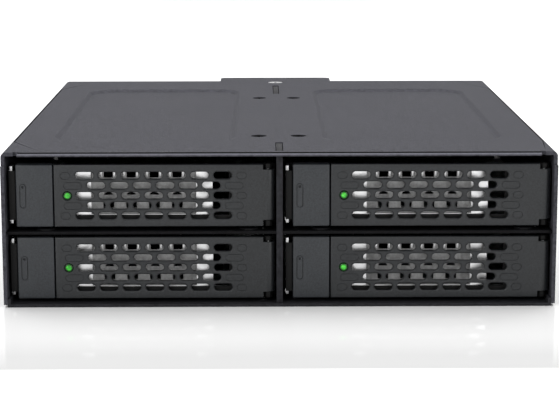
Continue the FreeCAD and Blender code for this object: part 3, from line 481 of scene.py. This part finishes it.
def makeLever():
    bay = bays[0]
    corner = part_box(f"{bay}_button")[0] / mm
    low, high = [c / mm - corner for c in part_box(f"{bay}_lever")]
    start, face, tall = low.x, low.y, high.z
    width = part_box(f"{bay}_frame")[1].x / mm - corner.x
    back = face + lever["thick"]
    hinge = (high.x - lever["knuckle"], face + lever["knuckle"])
    plate = addBox("lever", (start, face, 0), (hinge[0], back, tall))
    startEdit(plate)
    pick("EDGE", lambda e: middle(e).y < face + 0.1)
    bpy.ops.mesh.bevel(offset=lever["edge"] * mm, segments=3, affect="EDGES")
    endEdit()
    rollLow = lever["notchBottom"] + lever["knuckleGap"]
    rollHigh = tall - lever["notchTop"] - lever["knuckleGap"]
    roll = addCylinder("roll", (*hinge, (rollLow + rollHigh) / 2), lever["knuckle"],
                       rollHigh - rollLow, "Z", 40)
    roundEdges(roll, lever["soft"], 2, 60)
    carve(plate, roll, "UNION")
    notch = width - lever["notchReach"]
    for name, under, over in (("bottom", -1, rollLow), ("top", rollHigh, tall + 1)):
        carve(plate, addBox(name, (notch, face - 1, under), (width + 1, back + 3, over)))
    (hookNear, hookFar), (hookLow, hookHigh) = lever["hook"]
    hook = addBox("hook", (start + hookNear, face + lever["thick"] / 2, hookLow),
                  (start + hookFar, back + lever["hookReach"], hookHigh))
    roundEdges(hook, lever["soft"], 2)
    carve(plate, hook, "UNION")
    tools = []
    blinds = []
    lensSpot = (start + lever["lensSide"], lever["lowest"] + 2 * lever["rowPitch"])
    last = lever["first"] + (lever["perRow"][0] - 1) * lever["pitch"]
    for row in range(5):
        z = lever["lowest"] + row * lever["rowPitch"]
        odd = row % 2
        first = lever["first"] + odd * lever["pitch"] / 2
        for i in range(lever["perRow"][odd]):
            x = start + first + i * lever["pitch"]
            tools.append(capsule("slot", (x, z), lever["slotLong"], lever["slotTall"],
                                 (face, back + 1), lever["rim"]))
        if odd:
            blinds += [(x, z, lever["slotLong"]) for x in (first - lever["pitch"], last + lever["pitch"] / 2)]
        else:
            gap = lever["pitch"] - (lever["slotLong"] - lever["shortLong"]) / 2
            sides = (last + gap,) if row == 2 else (first - gap, last + gap)  # the light has row 2's place
            blinds += [(x, z, lever["shortLong"]) for x in sides]
    for x, z, long in blinds:
        tools.append(outline("blind", (start + x, z), long, lever["slotTall"], face,
                             lever["blindWidth"], lever["blindDeep"]))
    bore = addCylinder("bore", (lensSpot[0], (face + back) / 2, lensSpot[1]),
                       lever["lensHole"], lever["thick"] + 2)
    mouth = addCylinder("mouth", (lensSpot[0], face, lensSpot[1]), lever["lensHole"] + 2 * lever["lensRim"],
                        2 * lever["lensRim"], topRadius=lever["lensHole"])
    pinHole = addCylinder("pinHole", (*hinge, tall / 2), lever["pinHole"], tall + 2, "Z", 32)
    for tool in (mouth, bore, pinHole, joinPieces("slots", tools)):
        carve(plate, tool)
    smoothBy(plate, 38)
    return plate


def makeLevers():
    model = makeLever()
    for bay in bays:
        piece = copyTo(model, f"{bay}_lever_vented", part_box(f"{bay}_button")[0] / mm)
        place(piece, materials["lever_plastic"], f"{bay}_lever", replaced=(f"{bay}_lever",))
    bpy.data.objects.remove(model)


makeLevers()
print("levers done")


# Release button: soft-edged cap with a pill-shaped groove.

button = {"edge": 0.35, "pillSide": 1.86, "pillHalf": 0.9, "pillLong": 6.6, "line": 0.26, "lineDeep": 0.3,
          "dot": 0.36, "dotDeep": 0.5, "wall": 1.0, "face": 1.2}


def makeButton():
    bay = bays[0]
    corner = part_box(f"{bay}_button")[0] / mm
    low, high = [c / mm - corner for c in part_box(f"{bay}_button")]
    cap = addBox("button", low, high)
    startEdit(cap)
    pick("EDGE", lambda e: middle(e).y < high.y - 0.1)
    bpy.ops.mesh.bevel(offset=button["edge"] * mm, segments=3, affect="EDGES")
    endEdit()
    wall = button["wall"]
    carve(cap, addBox("hollow", (wall, low.y + button["face"], wall),
                      (high.x - wall, high.y + 1, high.z - wall)))
    z = high.z / 2
    carve(cap, outline("pill", (button["pillSide"], z), button["pillHalf"] * 2, button["pillLong"], low.y,
                       button["line"], button["lineDeep"]))
    top = z + button["pillLong"] / 2 - button["pillHalf"]
    carve(cap, addCylinder("dot", (button["pillSide"], low.y, top), button["dot"],
                           2 * button["dotDeep"], sides=24))
    smoothBy(cap)
    return cap


def makeButtons():
    model = makeButton()
    for bay in bays:
        piece = copyTo(model, f"{bay}_button_cap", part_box(f"{bay}_button")[0] / mm)
        place(piece, materials["button_plastic"], f"{bay}_button", replaced=(f"{bay}_button",))
    bpy.data.objects.remove(model)


makeButtons()
print("buttons done")


# Cover: one folded sheet with pressed panels, countersinks, slots and a tab over the fan.

cover = {
    "sheet": 1.0, "fold": 1.3, "panelSides": (12.0, 62.0), "panelEnds": (20.5, 141.0), "panelCorner": 10.0,
    "sink": 0.8, "slope": 1.4, "soft": 0.4, "tabHalf": 19.1, "tabReach": 10.5, "tabCorner": 2.0,
    "slotHalf": 1.0, "slots": ((3.0, 18.5), (128.0, 151.0)), "tabSlot": (4.0, 14.8, 1.1, 0.9),
    "screwSide": 5.5, "screwDepths": (31.0, 117.0), "head": 2.25, "headDeep": 1.0, "thread": 1.25,
    "rearScrew": 161.5, "rearHead": 2.65, "holeDepths": (47.4, 126.65), "holeHeights": (10.0, 21.84),
    "lip": 0.9, "lipDrop": 0.32, "lipRound": 0.45, "groove": 0.3, "grooveDeep": 0.75,
    "notch": 4.4, "notchDrop": 3.6, "relief": 0.75, "reliefInset": 3.9, "reliefDepth": 1.5, "seam": 0.08,
    "hole": 1.25, "shelfTab": 10.2, "shelfTabs": (21.9, 61.9, 101.9), "shelfLow": 19.3, "shelfHigh": 20.3,
}


def makeCover():
    low, high = [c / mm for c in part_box("top_cover")]
    front, rear, top = low.y, high.y - cover["tabReach"], high.z
    half = high.x
    bpy.ops.mesh.primitive_plane_add(size=1, location=(0, (front + rear) / 2 * mm, top * mm))
    shell = bpy.context.object
    shell.name = "cover_shell"
    shell.scale = (2 * half * mm, (rear - front) * mm, 1)
    settle(shell)
    startEdit(shell)
    panelSides, panelEnds = cover["panelSides"], cover["panelEnds"]
    marks = [(side * x, 0, 0) for side in (-1, 1) for x in (*panelSides, cover["tabHalf"])]
    marks += [(0, front + y, 0) for y in panelEnds]
    for mark in marks:
        bpy.ops.mesh.select_all(action="SELECT")
        flat = [1 if c else 0 for c in mark]
        bpy.ops.mesh.bisect(plane_co=[c * mm for c in mark], plane_no=flat)

    def inPanel(spot):
        return panelSides[0] < abs(spot.x) < panelSides[1] and panelEnds[0] < spot.y - front < panelEnds[1]

    def isPressEdge(edge):  # the rim and the foot of a pressed wall
        tilts = sorted(face.normal.z for face in edge.link_faces)
        return len(tilts) == 2 and tilts[0] < 0.95 < 0.99 < tilts[1]

    pick("FACE", lambda f: inPanel(middle(f)))
    bpy.ops.mesh.dissolve_faces()
    pick("FACE", lambda f: inPanel(middle(f)))
    bpy.ops.mesh.extrude_region_move(TRANSFORM_OT_translate={"value": (0, 0, -cover["sink"] * mm)})
    pick("EDGE", lambda e: runsAlong(e, 2) and any(abs(abs(middle(e).x) - x) < 0.01 for x in panelSides)
         and any(abs(middle(e).y - front - y) < 0.01 for y in panelEnds))
    bpy.ops.mesh.bevel(offset=cover["panelCorner"] * mm, segments=10, affect="EDGES")
    for side in (-1, 1):
        pick("FACE", lambda f: inPanel(middle(f)) and middle(f).x * side > 0 and middle(f).z < top - 0.7)
        centre = (side * sum(panelSides) / 2 * mm, (front + sum(panelEnds) / 2) * mm,
                  (top - cover["sink"]) * mm)
        shrink = [1 - 2 * cover["slope"] / (b - a) for a, b in (panelSides, panelEnds)]
        bpy.ops.transform.resize(value=(*shrink, 1), center_override=centre)
    pick("EDGE", lambda e: abs(e.verts[0].co.z - e.verts[1].co.z) < 1e-6 and isPressEdge(e))
    bpy.ops.mesh.bevel(offset=cover["soft"] * mm, segments=3, affect="EDGES")
    pick("EDGE", lambda e: e.is_boundary and middle(e).y > rear - 0.01
         and abs(middle(e).x) < cover["tabHalf"])
    bpy.ops.mesh.extrude_region_move(TRANSFORM_OT_translate={"value": (0, cover["tabReach"] * mm, 0)})
    pick("VERT", lambda v: middle(v).y > rear + 1 and abs(middle(v).x) > cover["tabHalf"] - 0.1)
    bpy.ops.mesh.bevel(offset=cover["tabCorner"] * mm, segments=4, affect="VERTICES")
    pick("EDGE", lambda e: e.is_boundary and abs(middle(e).x) > half - 0.01)
    bpy.ops.mesh.extrude_region_move(TRANSFORM_OT_translate={"value": (0, 0, -(top - low.z) * mm)})
    pick("EDGE", lambda e: abs(middle(e).x) > half - 0.01 and middle(e).z > top - 0.01 and runsAlong(e, 1))
    bpy.ops.mesh.bevel(offset=cover["fold"] * mm, segments=5, affect="EDGES")
    bpy.ops.mesh.select_all(action="SELECT")
    bpy.ops.mesh.remove_doubles(threshold=0.001 * mm)
    bpy.ops.mesh.normals_make_consistent(inside=False)
    endEdit()
    finishModifier(shell, "SOLIDIFY", thickness=cover["sheet"] * mm, offset=-1)
    under = top - cover["sheet"]
    lipEnd = front + cover["lip"] + cover["groove"]
    inner = half - cover["notch"]
    groove = addBox("groove", (-inner - 0.5, lipEnd - cover["groove"], top - cover["grooveDeep"]),
                    (inner + 0.5, lipEnd, top + 1))
    carve(groove, addBox("lip", (-inner - 0.5, front - 1, top - cover["lipDrop"]),
                         (inner + 0.5, lipEnd - 0.1, top + 0.9)), "UNION")
    for side in (-1, 1):
        a, b = sorted((side * inner, side * (half + 1)))
        carve(groove, addBox("notch", (a, front - 1, top - cover["notchDrop"]),
                             (b, lipEnd, top + 1)), "UNION")
        relief = (side * (half - cover["reliefInset"]), front + cover["reliefDepth"], top)
        carve(groove, addCylinder("relief", relief, cover["relief"], 3, "Z", 24), "UNION")
    tools = [groove]
    for start, end in cover["slots"]:
        tools.append(addBox("slot", (-cover["slotHalf"], front + start, under - 1),
                            (cover["slotHalf"], front + end, top + 1)))
    near, far, wide, edge = cover["tabSlot"]
    for side in (-1, 1):
        a, b = sorted((side * near, side * far))
        tools.append(addBox("tabSlot", (a, high.y - edge - wide, under - 1), (b, high.y - edge, top + 1)))
        for depth in cover["screwDepths"]:
            tools.append(sink("sink", (side * cover["screwSide"], front + depth), top, cover["head"]))
        for start in cover["shelfTabs"]:
            a, b = sorted((side * (half - 2), side * (half + 1)))
            tools.append(addBox("tabWindow", (a, front + start, cover["shelfLow"]),
                                (b, front + start + cover["shelfTab"], cover["shelfHigh"])))
        for depth in cover["holeDepths"]:
            for height in cover["holeHeights"]:
                tools.append(addCylinder("hole", (side * half, front + depth, height),
                                         cover["hole"], 5, "X", 32))
    tools.append(sink("rearSink", (0, front + cover["rearScrew"]), top, cover["rearHead"]))
    carve(shell, joinPieces("coverTools", tools))
    startEdit(shell)
    pick("EDGE", lambda e: runsAlong(e, 0) and middle(e).y < front + 0.01
         and middle(e).z > top - cover["lipDrop"] - 0.01)
    bpy.ops.mesh.bevel(offset=cover["lipRound"] * mm, segments=4, affect="EDGES")
    endEdit()
    smoothBy(shell, 32)
    finishModifier(shell, "WEIGHTED_NORMAL", keep_sharp=True, weight=100)
    place(shell, coverCoat, "top_cover", replaced=("top_cover",))
    # Painted shade: a thin near-black strip set in the groove behind the lip, standing in for the shade in
    # the groove.
    seam = addBox("cover_seam", (-inner + 0.1, lipEnd - cover["seam"], top - cover["lipDrop"] - 0.1),
                  (inner - 0.1, lipEnd + cover["seam"], top - 0.02))
    roundEdges(seam, 0.01, 1)
    place(seam, materials["frame_plastic"], "top_cover")


def sink(name, spot, top, head):  # a countersink with its bore
    cone = addCylinder(name, (*spot, top - cover["headDeep"] / 2 + 0.25), cover["thread"],
                       cover["headDeep"] + 0.5, "Z", 36, topRadius=head + 0.5 * (head - cover["thread"]))
    rod = addCylinder(name, (*spot, top - 1), cover["thread"], 6, "Z", 36)
    carve(cone, rod, "UNION")
    return cone


makeCover()
print("cover done")


# Screws with a cross recess: countersunk in the top, pan heads on the fan and the backplane.

screw = {"shank": 1.0, "arm": 0.6, "armWide": 0.17, "recess": 0.65, "low": 0.1, "edge": 0.05,
         "coneDeep": 0.6, "coneEnd": 1.05, "shankLong": 1.8, "shankDown": 1.4, "dome": 0.5}


def cutCross(piece, spot, top, head, axis="Z"):
    x, y = spot
    for long, wide in ((screw["arm"], screw["armWide"]), (screw["armWide"], screw["arm"])):
        low = (x - head * long, y - head * wide, top - screw["recess"])
        high = (x + head * long, y + head * wide, top + 1)
        if axis == "Y":
            low, high = [(corner[0], corner[2], corner[1]) for corner in (low, high)]
        carve(piece, addBox("recess", low, high))


def makeCountersunk(name, spot, top, head):
    z = top - screw["low"]
    body = addCylinder(name, (*spot, z - screw["coneDeep"] / 2), screw["coneEnd"], screw["coneDeep"],
                       "Z", 40, topRadius=head)
    carve(body, addCylinder("shank", (*spot, z - screw["shankDown"]), screw["shank"], screw["shankLong"],
                            "Z", 32), "UNION")
    cutCross(body, spot, z, head)
    roundEdges(body, screw["edge"], 1, 50)
    smoothBy(body, 40)
    return body


def makePanHead(name, spot, ends, head, shankEnd):  # spot is X and Z, ends are the Y of its two sides
    near, far = ends
    body = addCylinder(name, (spot[0], (near + far) / 2, spot[1]), head, far - near, "Y", 40)
    startEdit(body)
    pick("EDGE", lambda e: middle(e).y > far - 0.01)
    bpy.ops.mesh.bevel(offset=min(screw["dome"], 0.6 * (far - near)) * mm, segments=4, affect="EDGES")
    endEdit()
    carve(body, addCylinder("shank", (spot[0], (shankEnd + near) / 2 + 0.1, spot[1]), screw["shank"],
                            near - shankEnd + 0.2, "Y", 32), "UNION")
    cutCross(body, spot, far, head, "Y")
    smoothBy(body, 40)
    return body


def makeScrews():
    low, high = [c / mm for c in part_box("top_cover")]
    heads = [makeCountersunk("head", (side * cover["screwSide"], low.y + depth), high.z, cover["head"] - 0.12)
             for side in (-1, 1) for depth in cover["screwDepths"]]
    place(joinPieces("cover_screw_heads", heads), materials["black_screw"], "cover_screws",
          replaced=("cover_screws",))
    rear = makeCountersunk("rear_screw_head", (0, low.y + cover["rearScrew"]), high.z,
                           cover["rearHead"] - 0.2)
    place(rear, materials["zinc_screw"], "rear_screw", replaced=("rear_screw",))
    for node, held, head, perSide in (("fan_screws", "fan_frame", fanDuct["screwHead"], 2),
                                      ("board_screws", "backplane_board", boardScrew["head"], 1)):
        low, high = [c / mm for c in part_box(node)]
        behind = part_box(held)[1].y / mm
        across = (low.x + head, high.x - head)
        heights = (low.z + head, high.z - head) if perSide == 2 else ((low.z + high.z) / 2,)
        group = [makePanHead("pan", (x, z), (behind, high.y), head, low.y) for x in across for z in heights]
        place(joinPieces(f"{node}_finished", group), materials[slotOf[node]], node, replaced=(node,))


# Fan: moulded duct with a motor cup on four struts, and a rotor with twisted blades.

fanDuct = {"corner": 3.0, "bore": 19.0, "flare": 0.45, "holeInset": 4.0, "hole": 1.6, "screwHead": 2.6,
           "motor": 10.8, "motorDeep": 2.0, "motorEdge": 0.4, "dish": 9.4, "dishDeep": 0.25,
           "strut": 0.9, "edge": 0.125, "shaftHole": 1.05}
fanRotor = {"hub": 10.2, "hubLong": 6.2, "shaft": 1.0, "root": 8.4, "reach": 17.6, "chord": 8.0,
            "thick": 0.7, "tipRound": 1.6, "stations": 9, "pitch": 42, "twist": -16, "count": 7, "edge": 0.8}
boardScrew = {"head": 2.2}


def makeFanDuct():
    low, high = [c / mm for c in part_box("fan_frame")]
    axis = (0, (low.y + high.y) / 2, (low.z + high.z) / 2)
    duct = addBox("fan_duct", low, high)
    startEdit(duct)
    pick("EDGE", lambda e: runsAlong(e, 1))
    bpy.ops.mesh.bevel(offset=fanDuct["corner"] * mm, segments=6, affect="EDGES")
    endEdit()
    long = high.y - low.y
    bore = addCylinder("bore", axis, fanDuct["bore"], long + 2, "Y", 96)
    for end, way in ((low.y, -1), (high.y, 1)):
        flare = addCylinder("flare", (0, end, axis[2]), fanDuct["bore"] - fanDuct["flare"] * way,
                            2 * fanDuct["flare"], "Y", 96, topRadius=fanDuct["bore"] + fanDuct["flare"] * way)
        carve(bore, flare, "UNION")
    carve(duct, bore)
    reach = high.x - fanDuct["holeInset"]
    for x in (-reach, reach):
        for z in (axis[2] - reach, axis[2] + reach):
            carve(duct, addCylinder("hole", (x, axis[1], z), fanDuct["hole"], long + 2, "Y", 32))
    front, wide = high.y - fanDuct["motorDeep"], fanDuct["bore"] + 0.3
    for x, z in ((wide, fanDuct["strut"]), (fanDuct["strut"], wide)):
        carve(duct, addBox("strut", (-x, front, axis[2] - z), (x, high.y - 0.1, axis[2] + z)), "UNION")
    cup = addCylinder("cup", (0, front + fanDuct["motorDeep"] / 2, axis[2]),
                      fanDuct["motor"], fanDuct["motorDeep"], "Y", 72)
    roundEdges(cup, fanDuct["motorEdge"], 3, 60)
    carve(duct, cup, "UNION")
    carve(duct, addCylinder("dish", (0, high.y, axis[2]), fanDuct["dish"], 2 * fanDuct["dishDeep"], "Y", 64))
    carve(duct, addCylinder("bush", (0, front, axis[2]), fanDuct["shaftHole"],
                            2 * fanDuct["motorDeep"] - 0.6, "Y", 32))
    roundEdges(duct, fanDuct["edge"], 1, 60)
    smoothBy(duct, 35)
    place(duct, materials["fan_plastic"], "fan_frame", replaced=("fan_frame",))


def makeBlade():
    start, end = fanRotor["root"], fanRotor["reach"]
    blade = addBox("blade", (0, -fanRotor["thick"] / 2, -fanRotor["chord"] / 2),
                   (end - start, fanRotor["thick"] / 2, fanRotor["chord"] / 2))
    startEdit(blade)
    pick("EDGE", lambda e: runsAlong(e, 1) and middle(e).x > end - start - 0.1)
    bpy.ops.mesh.bevel(offset=fanRotor["tipRound"] * mm, segments=4, affect="EDGES")
    for i in range(1, fanRotor["stations"]):
        bpy.ops.mesh.select_all(action="SELECT")
        cut = i * (end - start) / fanRotor["stations"] * mm
        bpy.ops.mesh.bisect(plane_co=(cut, 0, 0), plane_no=(1, 0, 0))
    endEdit()
    finishModifier(blade, "SIMPLE_DEFORM", deform_method="TWIST", deform_axis="X",
                   angle=math.radians(fanRotor["twist"]))
    roundEdges(blade, 0.2, 2, 50)
    blade.rotation_euler = (math.radians(fanRotor["pitch"] + 90), 0, 0)
    settle(blade)
    moveBy(blade, (start, 0, 0))
    return blade


def makeFanRotor():
    low, high = [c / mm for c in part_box("fan_rotor")]
    duct = [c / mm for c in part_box("fan_frame")]
    axisZ = (duct[0].z + duct[1].z) / 2
    hubMiddle = low.y + fanRotor["hubLong"] / 2
    hub = addCylinder("fan_hub", (0, hubMiddle, axisZ), fanRotor["hub"], fanRotor["hubLong"], "Y", 72)
    roundEdges(hub, fanRotor["edge"], 4, 60)
    shaft = addCylinder("shaft", (0, (low.y + high.y) / 2 + 0.5, axisZ), fanRotor["shaft"],
                        high.y - low.y - 1, "Y", 24)
    carve(hub, shaft, "UNION")
    model = makeBlade()
    blades = []
    for i in range(fanRotor["count"]):
        blade = copyTo(model, "blade", (0, 0, 0))
        blade.rotation_euler = (0, 2 * math.pi * i / fanRotor["count"], 0)
        settle(blade)
        moveBy(blade, (0, hubMiddle, axisZ))
        blades.append(blade)
    bpy.data.objects.remove(model)
    for blade in blades:
        carve(hub, blade, "UNION")
    smoothBy(hub, 35)
    place(hub, materials["fan_plastic"], "fan_rotor", replaced=("fan_rotor",))


makeFanDuct()
makeFanRotor()
makeScrews()
print("fan and screws done")


# Contacts: gilded strips on the tongue of each port.

contacts = {"wall": 1.0, "pitch": 1.27, "wide": 0.7, "proud": 0.12, "side": 1.4, "from": 2.4, "short": 0.6}


def makeContacts():
    for node in slotOf:
        if not node.endswith("_port"):
            continue
        low, high = [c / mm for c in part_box(node)]
        edge = 2 * contacts["wall"] + contacts["side"]
        count = int((high.x - low.x - 2 * edge) / contacts["pitch"]) + 1
        top = (low.z + high.z) / 2 + contacts["wall"] / 2
        first = (low.x + high.x) / 2 - (count - 1) / 2 * contacts["pitch"]
        strips = []
        for i in range(count):
            x = first + i * contacts["pitch"]
            strips.append(addBox("strip", (x - contacts["wide"] / 2, low.y + contacts["from"], top - 0.1),
                                 (x + contacts["wide"] / 2, high.y - contacts["wall"] - contacts["short"],
                                  top + contacts["proud"])))
            roundEdges(strips[-1], 0.05, 1, 60)
        place(joinPieces(f"{node}_contacts", strips), goldContact, node)


makeContacts()
print("contacts done")


# Folded and moulded pieces that keep their CAD shape and get softened edges.

softEdges = {
    "base_pan": 0.12, "centre_divider": 0.12, "left_shelf": 0.12, "right_shelf": 0.12, "rear_panel": 0.12,
    "backplane_board": 0.06,
}
softPlug = 0.12
softInBay = {"frame": 0.1, "tray": 0.08, "screen": 0.12, "pin": 0.15, "spring": 0.03}
# Painted shade: the pan, the divider and the shelves get the darker copies of the powder coat.
paintedShadeCoatOf = {
    "base_pan": shadedInsideCoat, "centre_divider": shadedInsideCoat, "left_shelf": shadedShelfCoat, "right_shelf": shadedShelfCoat,
}


def softenPieces():
    widths = dict(softEdges)
    for node in slotOf:
        if node.endswith(("_port", "_socket")):
            widths[node] = softPlug
    for bay in bays:
        for name, width in softInBay.items():
            widths[f"{bay}_{name}"] = width
    for node, width in widths.items():
        piece = cleanCopy(node, f"{node}_finished")
        roundEdges(piece, width, 2, 50)
        smoothBy(piece, 35)
        place(piece, paintedShadeCoatOf.get(node, materials[slotOf[node]]), node, replaced=(node,))
        if node.endswith("_spring"):  # a spring, which its button presses flat, gets a mesh of its own
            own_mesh(piece)


softenPieces()
print("sheet metal done")


# Vent screens: a cross bar behind the arches and bright collars beside the upper holes.

vent = {"first": 14.09, "pitch": 6.06, "count": 4,
        "barLow": 6.4, "barHigh": 8.0, "barBehind": 0.4, "barThick": 0.5,
        "collarSides": (-1.9, 1.65), "collar": 0.55, "collarLow": 12.8, "collarHigh": 15.0,
        "proud": 0.3, "sunk": 0.1, "soft": 0.1}


def makeScreenDetails():
    bay = bays[0]
    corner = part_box(f"{bay}_button")[0] / mm
    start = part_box(f"{bay}_lever")[0].x / mm - corner.x
    low, high = [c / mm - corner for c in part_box(f"{bay}_screen")]
    bar = addBox("bar", (low.x, high.y + vent["barBehind"] - vent["barThick"], vent["barLow"]),
                 (high.x, high.y + vent["barBehind"], vent["barHigh"]))
    roundEdges(bar, vent["soft"], 1)
    strips = []
    for i in range(vent["count"]):
        x = start + vent["first"] + i * vent["pitch"]
        for side in vent["collarSides"]:
            near, far = x + side - vent["collar"] / 2, x + side + vent["collar"] / 2
            strips.append(addBox("collar", (near, low.y - vent["proud"], vent["collarLow"]),
                                 (far, low.y + vent["sunk"], vent["collarHigh"])))
            roundEdges(strips[-1], vent["soft"], 2)
    collars = joinPieces("collars", strips)
    for bay in bays:
        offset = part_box(f"{bay}_button")[0] / mm
        place(copyTo(bar, f"{bay}_screen_bar", offset), materials["grey_screen"], f"{bay}_screen")
        place(copyTo(collars, f"{bay}_screen_collars", offset), materials["zinc_sheet"], f"{bay}_tray")
    bpy.data.objects.remove(bar)
    bpy.data.objects.remove(collars)


makeScreenDetails()
print("screen details done")


# Status lights: a deep green sleeve round a glowing domed core.

light = {"dome": 0.3, "radius": 1.1, "core": 0.74, "sunk": 0.08, "coreLong": 1.2}


def makeLens(name, centre, radius, ends):
    lens = addCylinder(name, (centre[0], sum(ends) / 2, centre[1]), radius, ends[1] - ends[0], sides=40)
    startEdit(lens)
    pick("FACE", lambda f: f.normal.y < -0.9)
    bpy.ops.mesh.bevel(offset=light["dome"] * mm, segments=4, affect="EDGES")
    endEdit()
    smoothBy(lens, 60)
    return lens


def makeLights():
    for bay in bays:
        low, high = [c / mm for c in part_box(f"{bay}_light")]
        centre = ((low.x + high.x) / 2, (low.z + high.z) / 2)
        sleeve = makeLens(f"{bay}_light_sleeve", centre, light["radius"], (low.y + light["sunk"], high.y))
        carve(sleeve, addCylinder("seat", (centre[0], low.y, centre[1]),
                                  light["core"], 2 * light["coreLong"], sides=40))
        smoothBy(sleeve, 60)
        core = makeLens(f"{bay}_light_core", centre, light["core"], (low.y, low.y + light["coreLong"]))
        place(sleeve, materials["green_lens"], f"{bay}_light", replaced=(f"{bay}_light",))
        place(core, glowingLens, f"{bay}_light")


makeLights()
print("lights done")


# Studio: pale floor and backdrop in one sweep, a glossy strip with painted shade under the front, soft
# lights, long lens.

studio = {
    "camera": (-4.28, -563.7, 114.16), "yaw": 0.523, "pitch": 10.47, "roll": 0.067, "lens": 118.76,
    "floorTone": 0.86, "floorSize": 6, "wallHigh": 3, "sweep": 1.2, "sky": 0.8,
    "mirrorNear": 0.76, "mirrorFar": 0.42, "mirrorFade": 0.05, "mirrorEnd": 0.062,
    "mirrorHalf": 0.085, "mirrorSoft": 0.08, "mirrorBack": (-0.5, -0.3), "mirrorMidLevel": 0.55,
    "lamps": (
        ("overhead", (0, 0.25, 1.3), (0, 0, 0), (1.6, 1.2), 26),
        ("front_left", (-0.9, -1.3, 0.7), (0, -0.05, 0.02), (0.9, 0.7), 9),
        ("front_right", (1.0, -1.2, 0.5), (0, -0.05, 0.02), (0.8, 0.6), 6),
    ),
}


def makeFloor():
    bpy.ops.mesh.primitive_plane_add(size=studio["floorSize"], location=(0, 0, 0))
    floor = bpy.context.object
    floor.name = "floor"
    rear = (studio["floorSize"] / 2 - 0.1) / mm
    startEdit(floor)
    pick("EDGE", lambda e: e.is_boundary and middle(e).y > rear)
    bpy.ops.mesh.extrude_region_move(TRANSFORM_OT_translate={"value": (0, 0, studio["wallHigh"])})
    pick("EDGE", lambda e: middle(e).y > rear and middle(e).z < 1 and runsAlong(e, 0))
    bpy.ops.mesh.bevel(offset=studio["sweep"], segments=16, affect="EDGES")
    endEdit()
    smoothBy(floor, 60)
    finish = Finish("studio_floor", Coat_Roughness=0.05, Specular_IOR_Level=0.0)
    cloud = finish.noise(3, 2, 0.5)
    ahead = cadBox[0][1] - finish.axis("Y")
    half, fade, end = studio["mirrorHalf"], studio["mirrorFade"], studio["mirrorEnd"]
    aside = finish.axis("X").maths("ABSOLUTE").ramp(half, half + studio["mirrorSoft"])
    # Painted shade: the floor colour is greyer from under the object to a little in front of it, standing in
    # for the object's shadow and dark reflection; the glossy coat on the same strip gives a real reflection.
    paintedFloorShade = finish.blend(ahead.ramp(0.0, end), grey(studio["mirrorNear"]), grey(studio["mirrorFar"]))
    beyond = 1 - ahead.ramp(*studio["mirrorBack"]) * (1 - ahead.above(end)) * (1 - aside)
    finish.set("Base Color", finish.blend(beyond, paintedFloorShade, grey(studio["floorTone"])))
    finish.set("Roughness", 0.5 + 0.04 * cloud)
    level = studio["mirrorMidLevel"]
    faded = 1 - (1 - level) * ahead.ramp(0.0, fade) - level * ahead.ramp(fade, end)
    finish.set("Coat Weight", faded * (1 - aside))
    floor.data.materials.append(finish.material)


def addLamp(name, spot, target, size, power):
    data = bpy.data.lights.new(name, "AREA")
    data.shape = "RECTANGLE"
    data.size, data.size_y = size
    data.energy = power
    lamp = bpy.data.objects.new(name, data)
    bpy.context.scene.collection.objects.link(lamp)
    lamp.location = spot
    lamp.rotation_euler = (Vector(target) - Vector(spot)).to_track_quat("-Z", "Y").to_euler()


def makeStudio():
    makeFloor()
    for lamp in studio["lamps"]:
        addLamp(*lamp)
    world = bpy.data.worlds.new("studio")
    world.use_nodes = True
    world.node_tree.nodes["Background"].inputs[0].default_value = (1, 1, 1, 1)
    world.node_tree.nodes["Background"].inputs[1].default_value = studio["sky"]
    scene = bpy.context.scene
    scene.world = world
    scene.view_settings.view_transform = "Standard"
    data = bpy.data.cameras.new("camera")
    data.lens = studio["lens"]
    data.clip_start, data.clip_end = 0.05, 20
    camera = bpy.data.objects.new("camera", data)
    scene.collection.objects.link(camera)
    camera.location = [c * mm for c in studio["camera"]]
    camera.rotation_euler = (math.radians(90 - studio["pitch"]), math.radians(studio["roll"]),
                             math.radians(-studio["yaw"]))
    scene.camera = camera


makeStudio()
print("studio done")
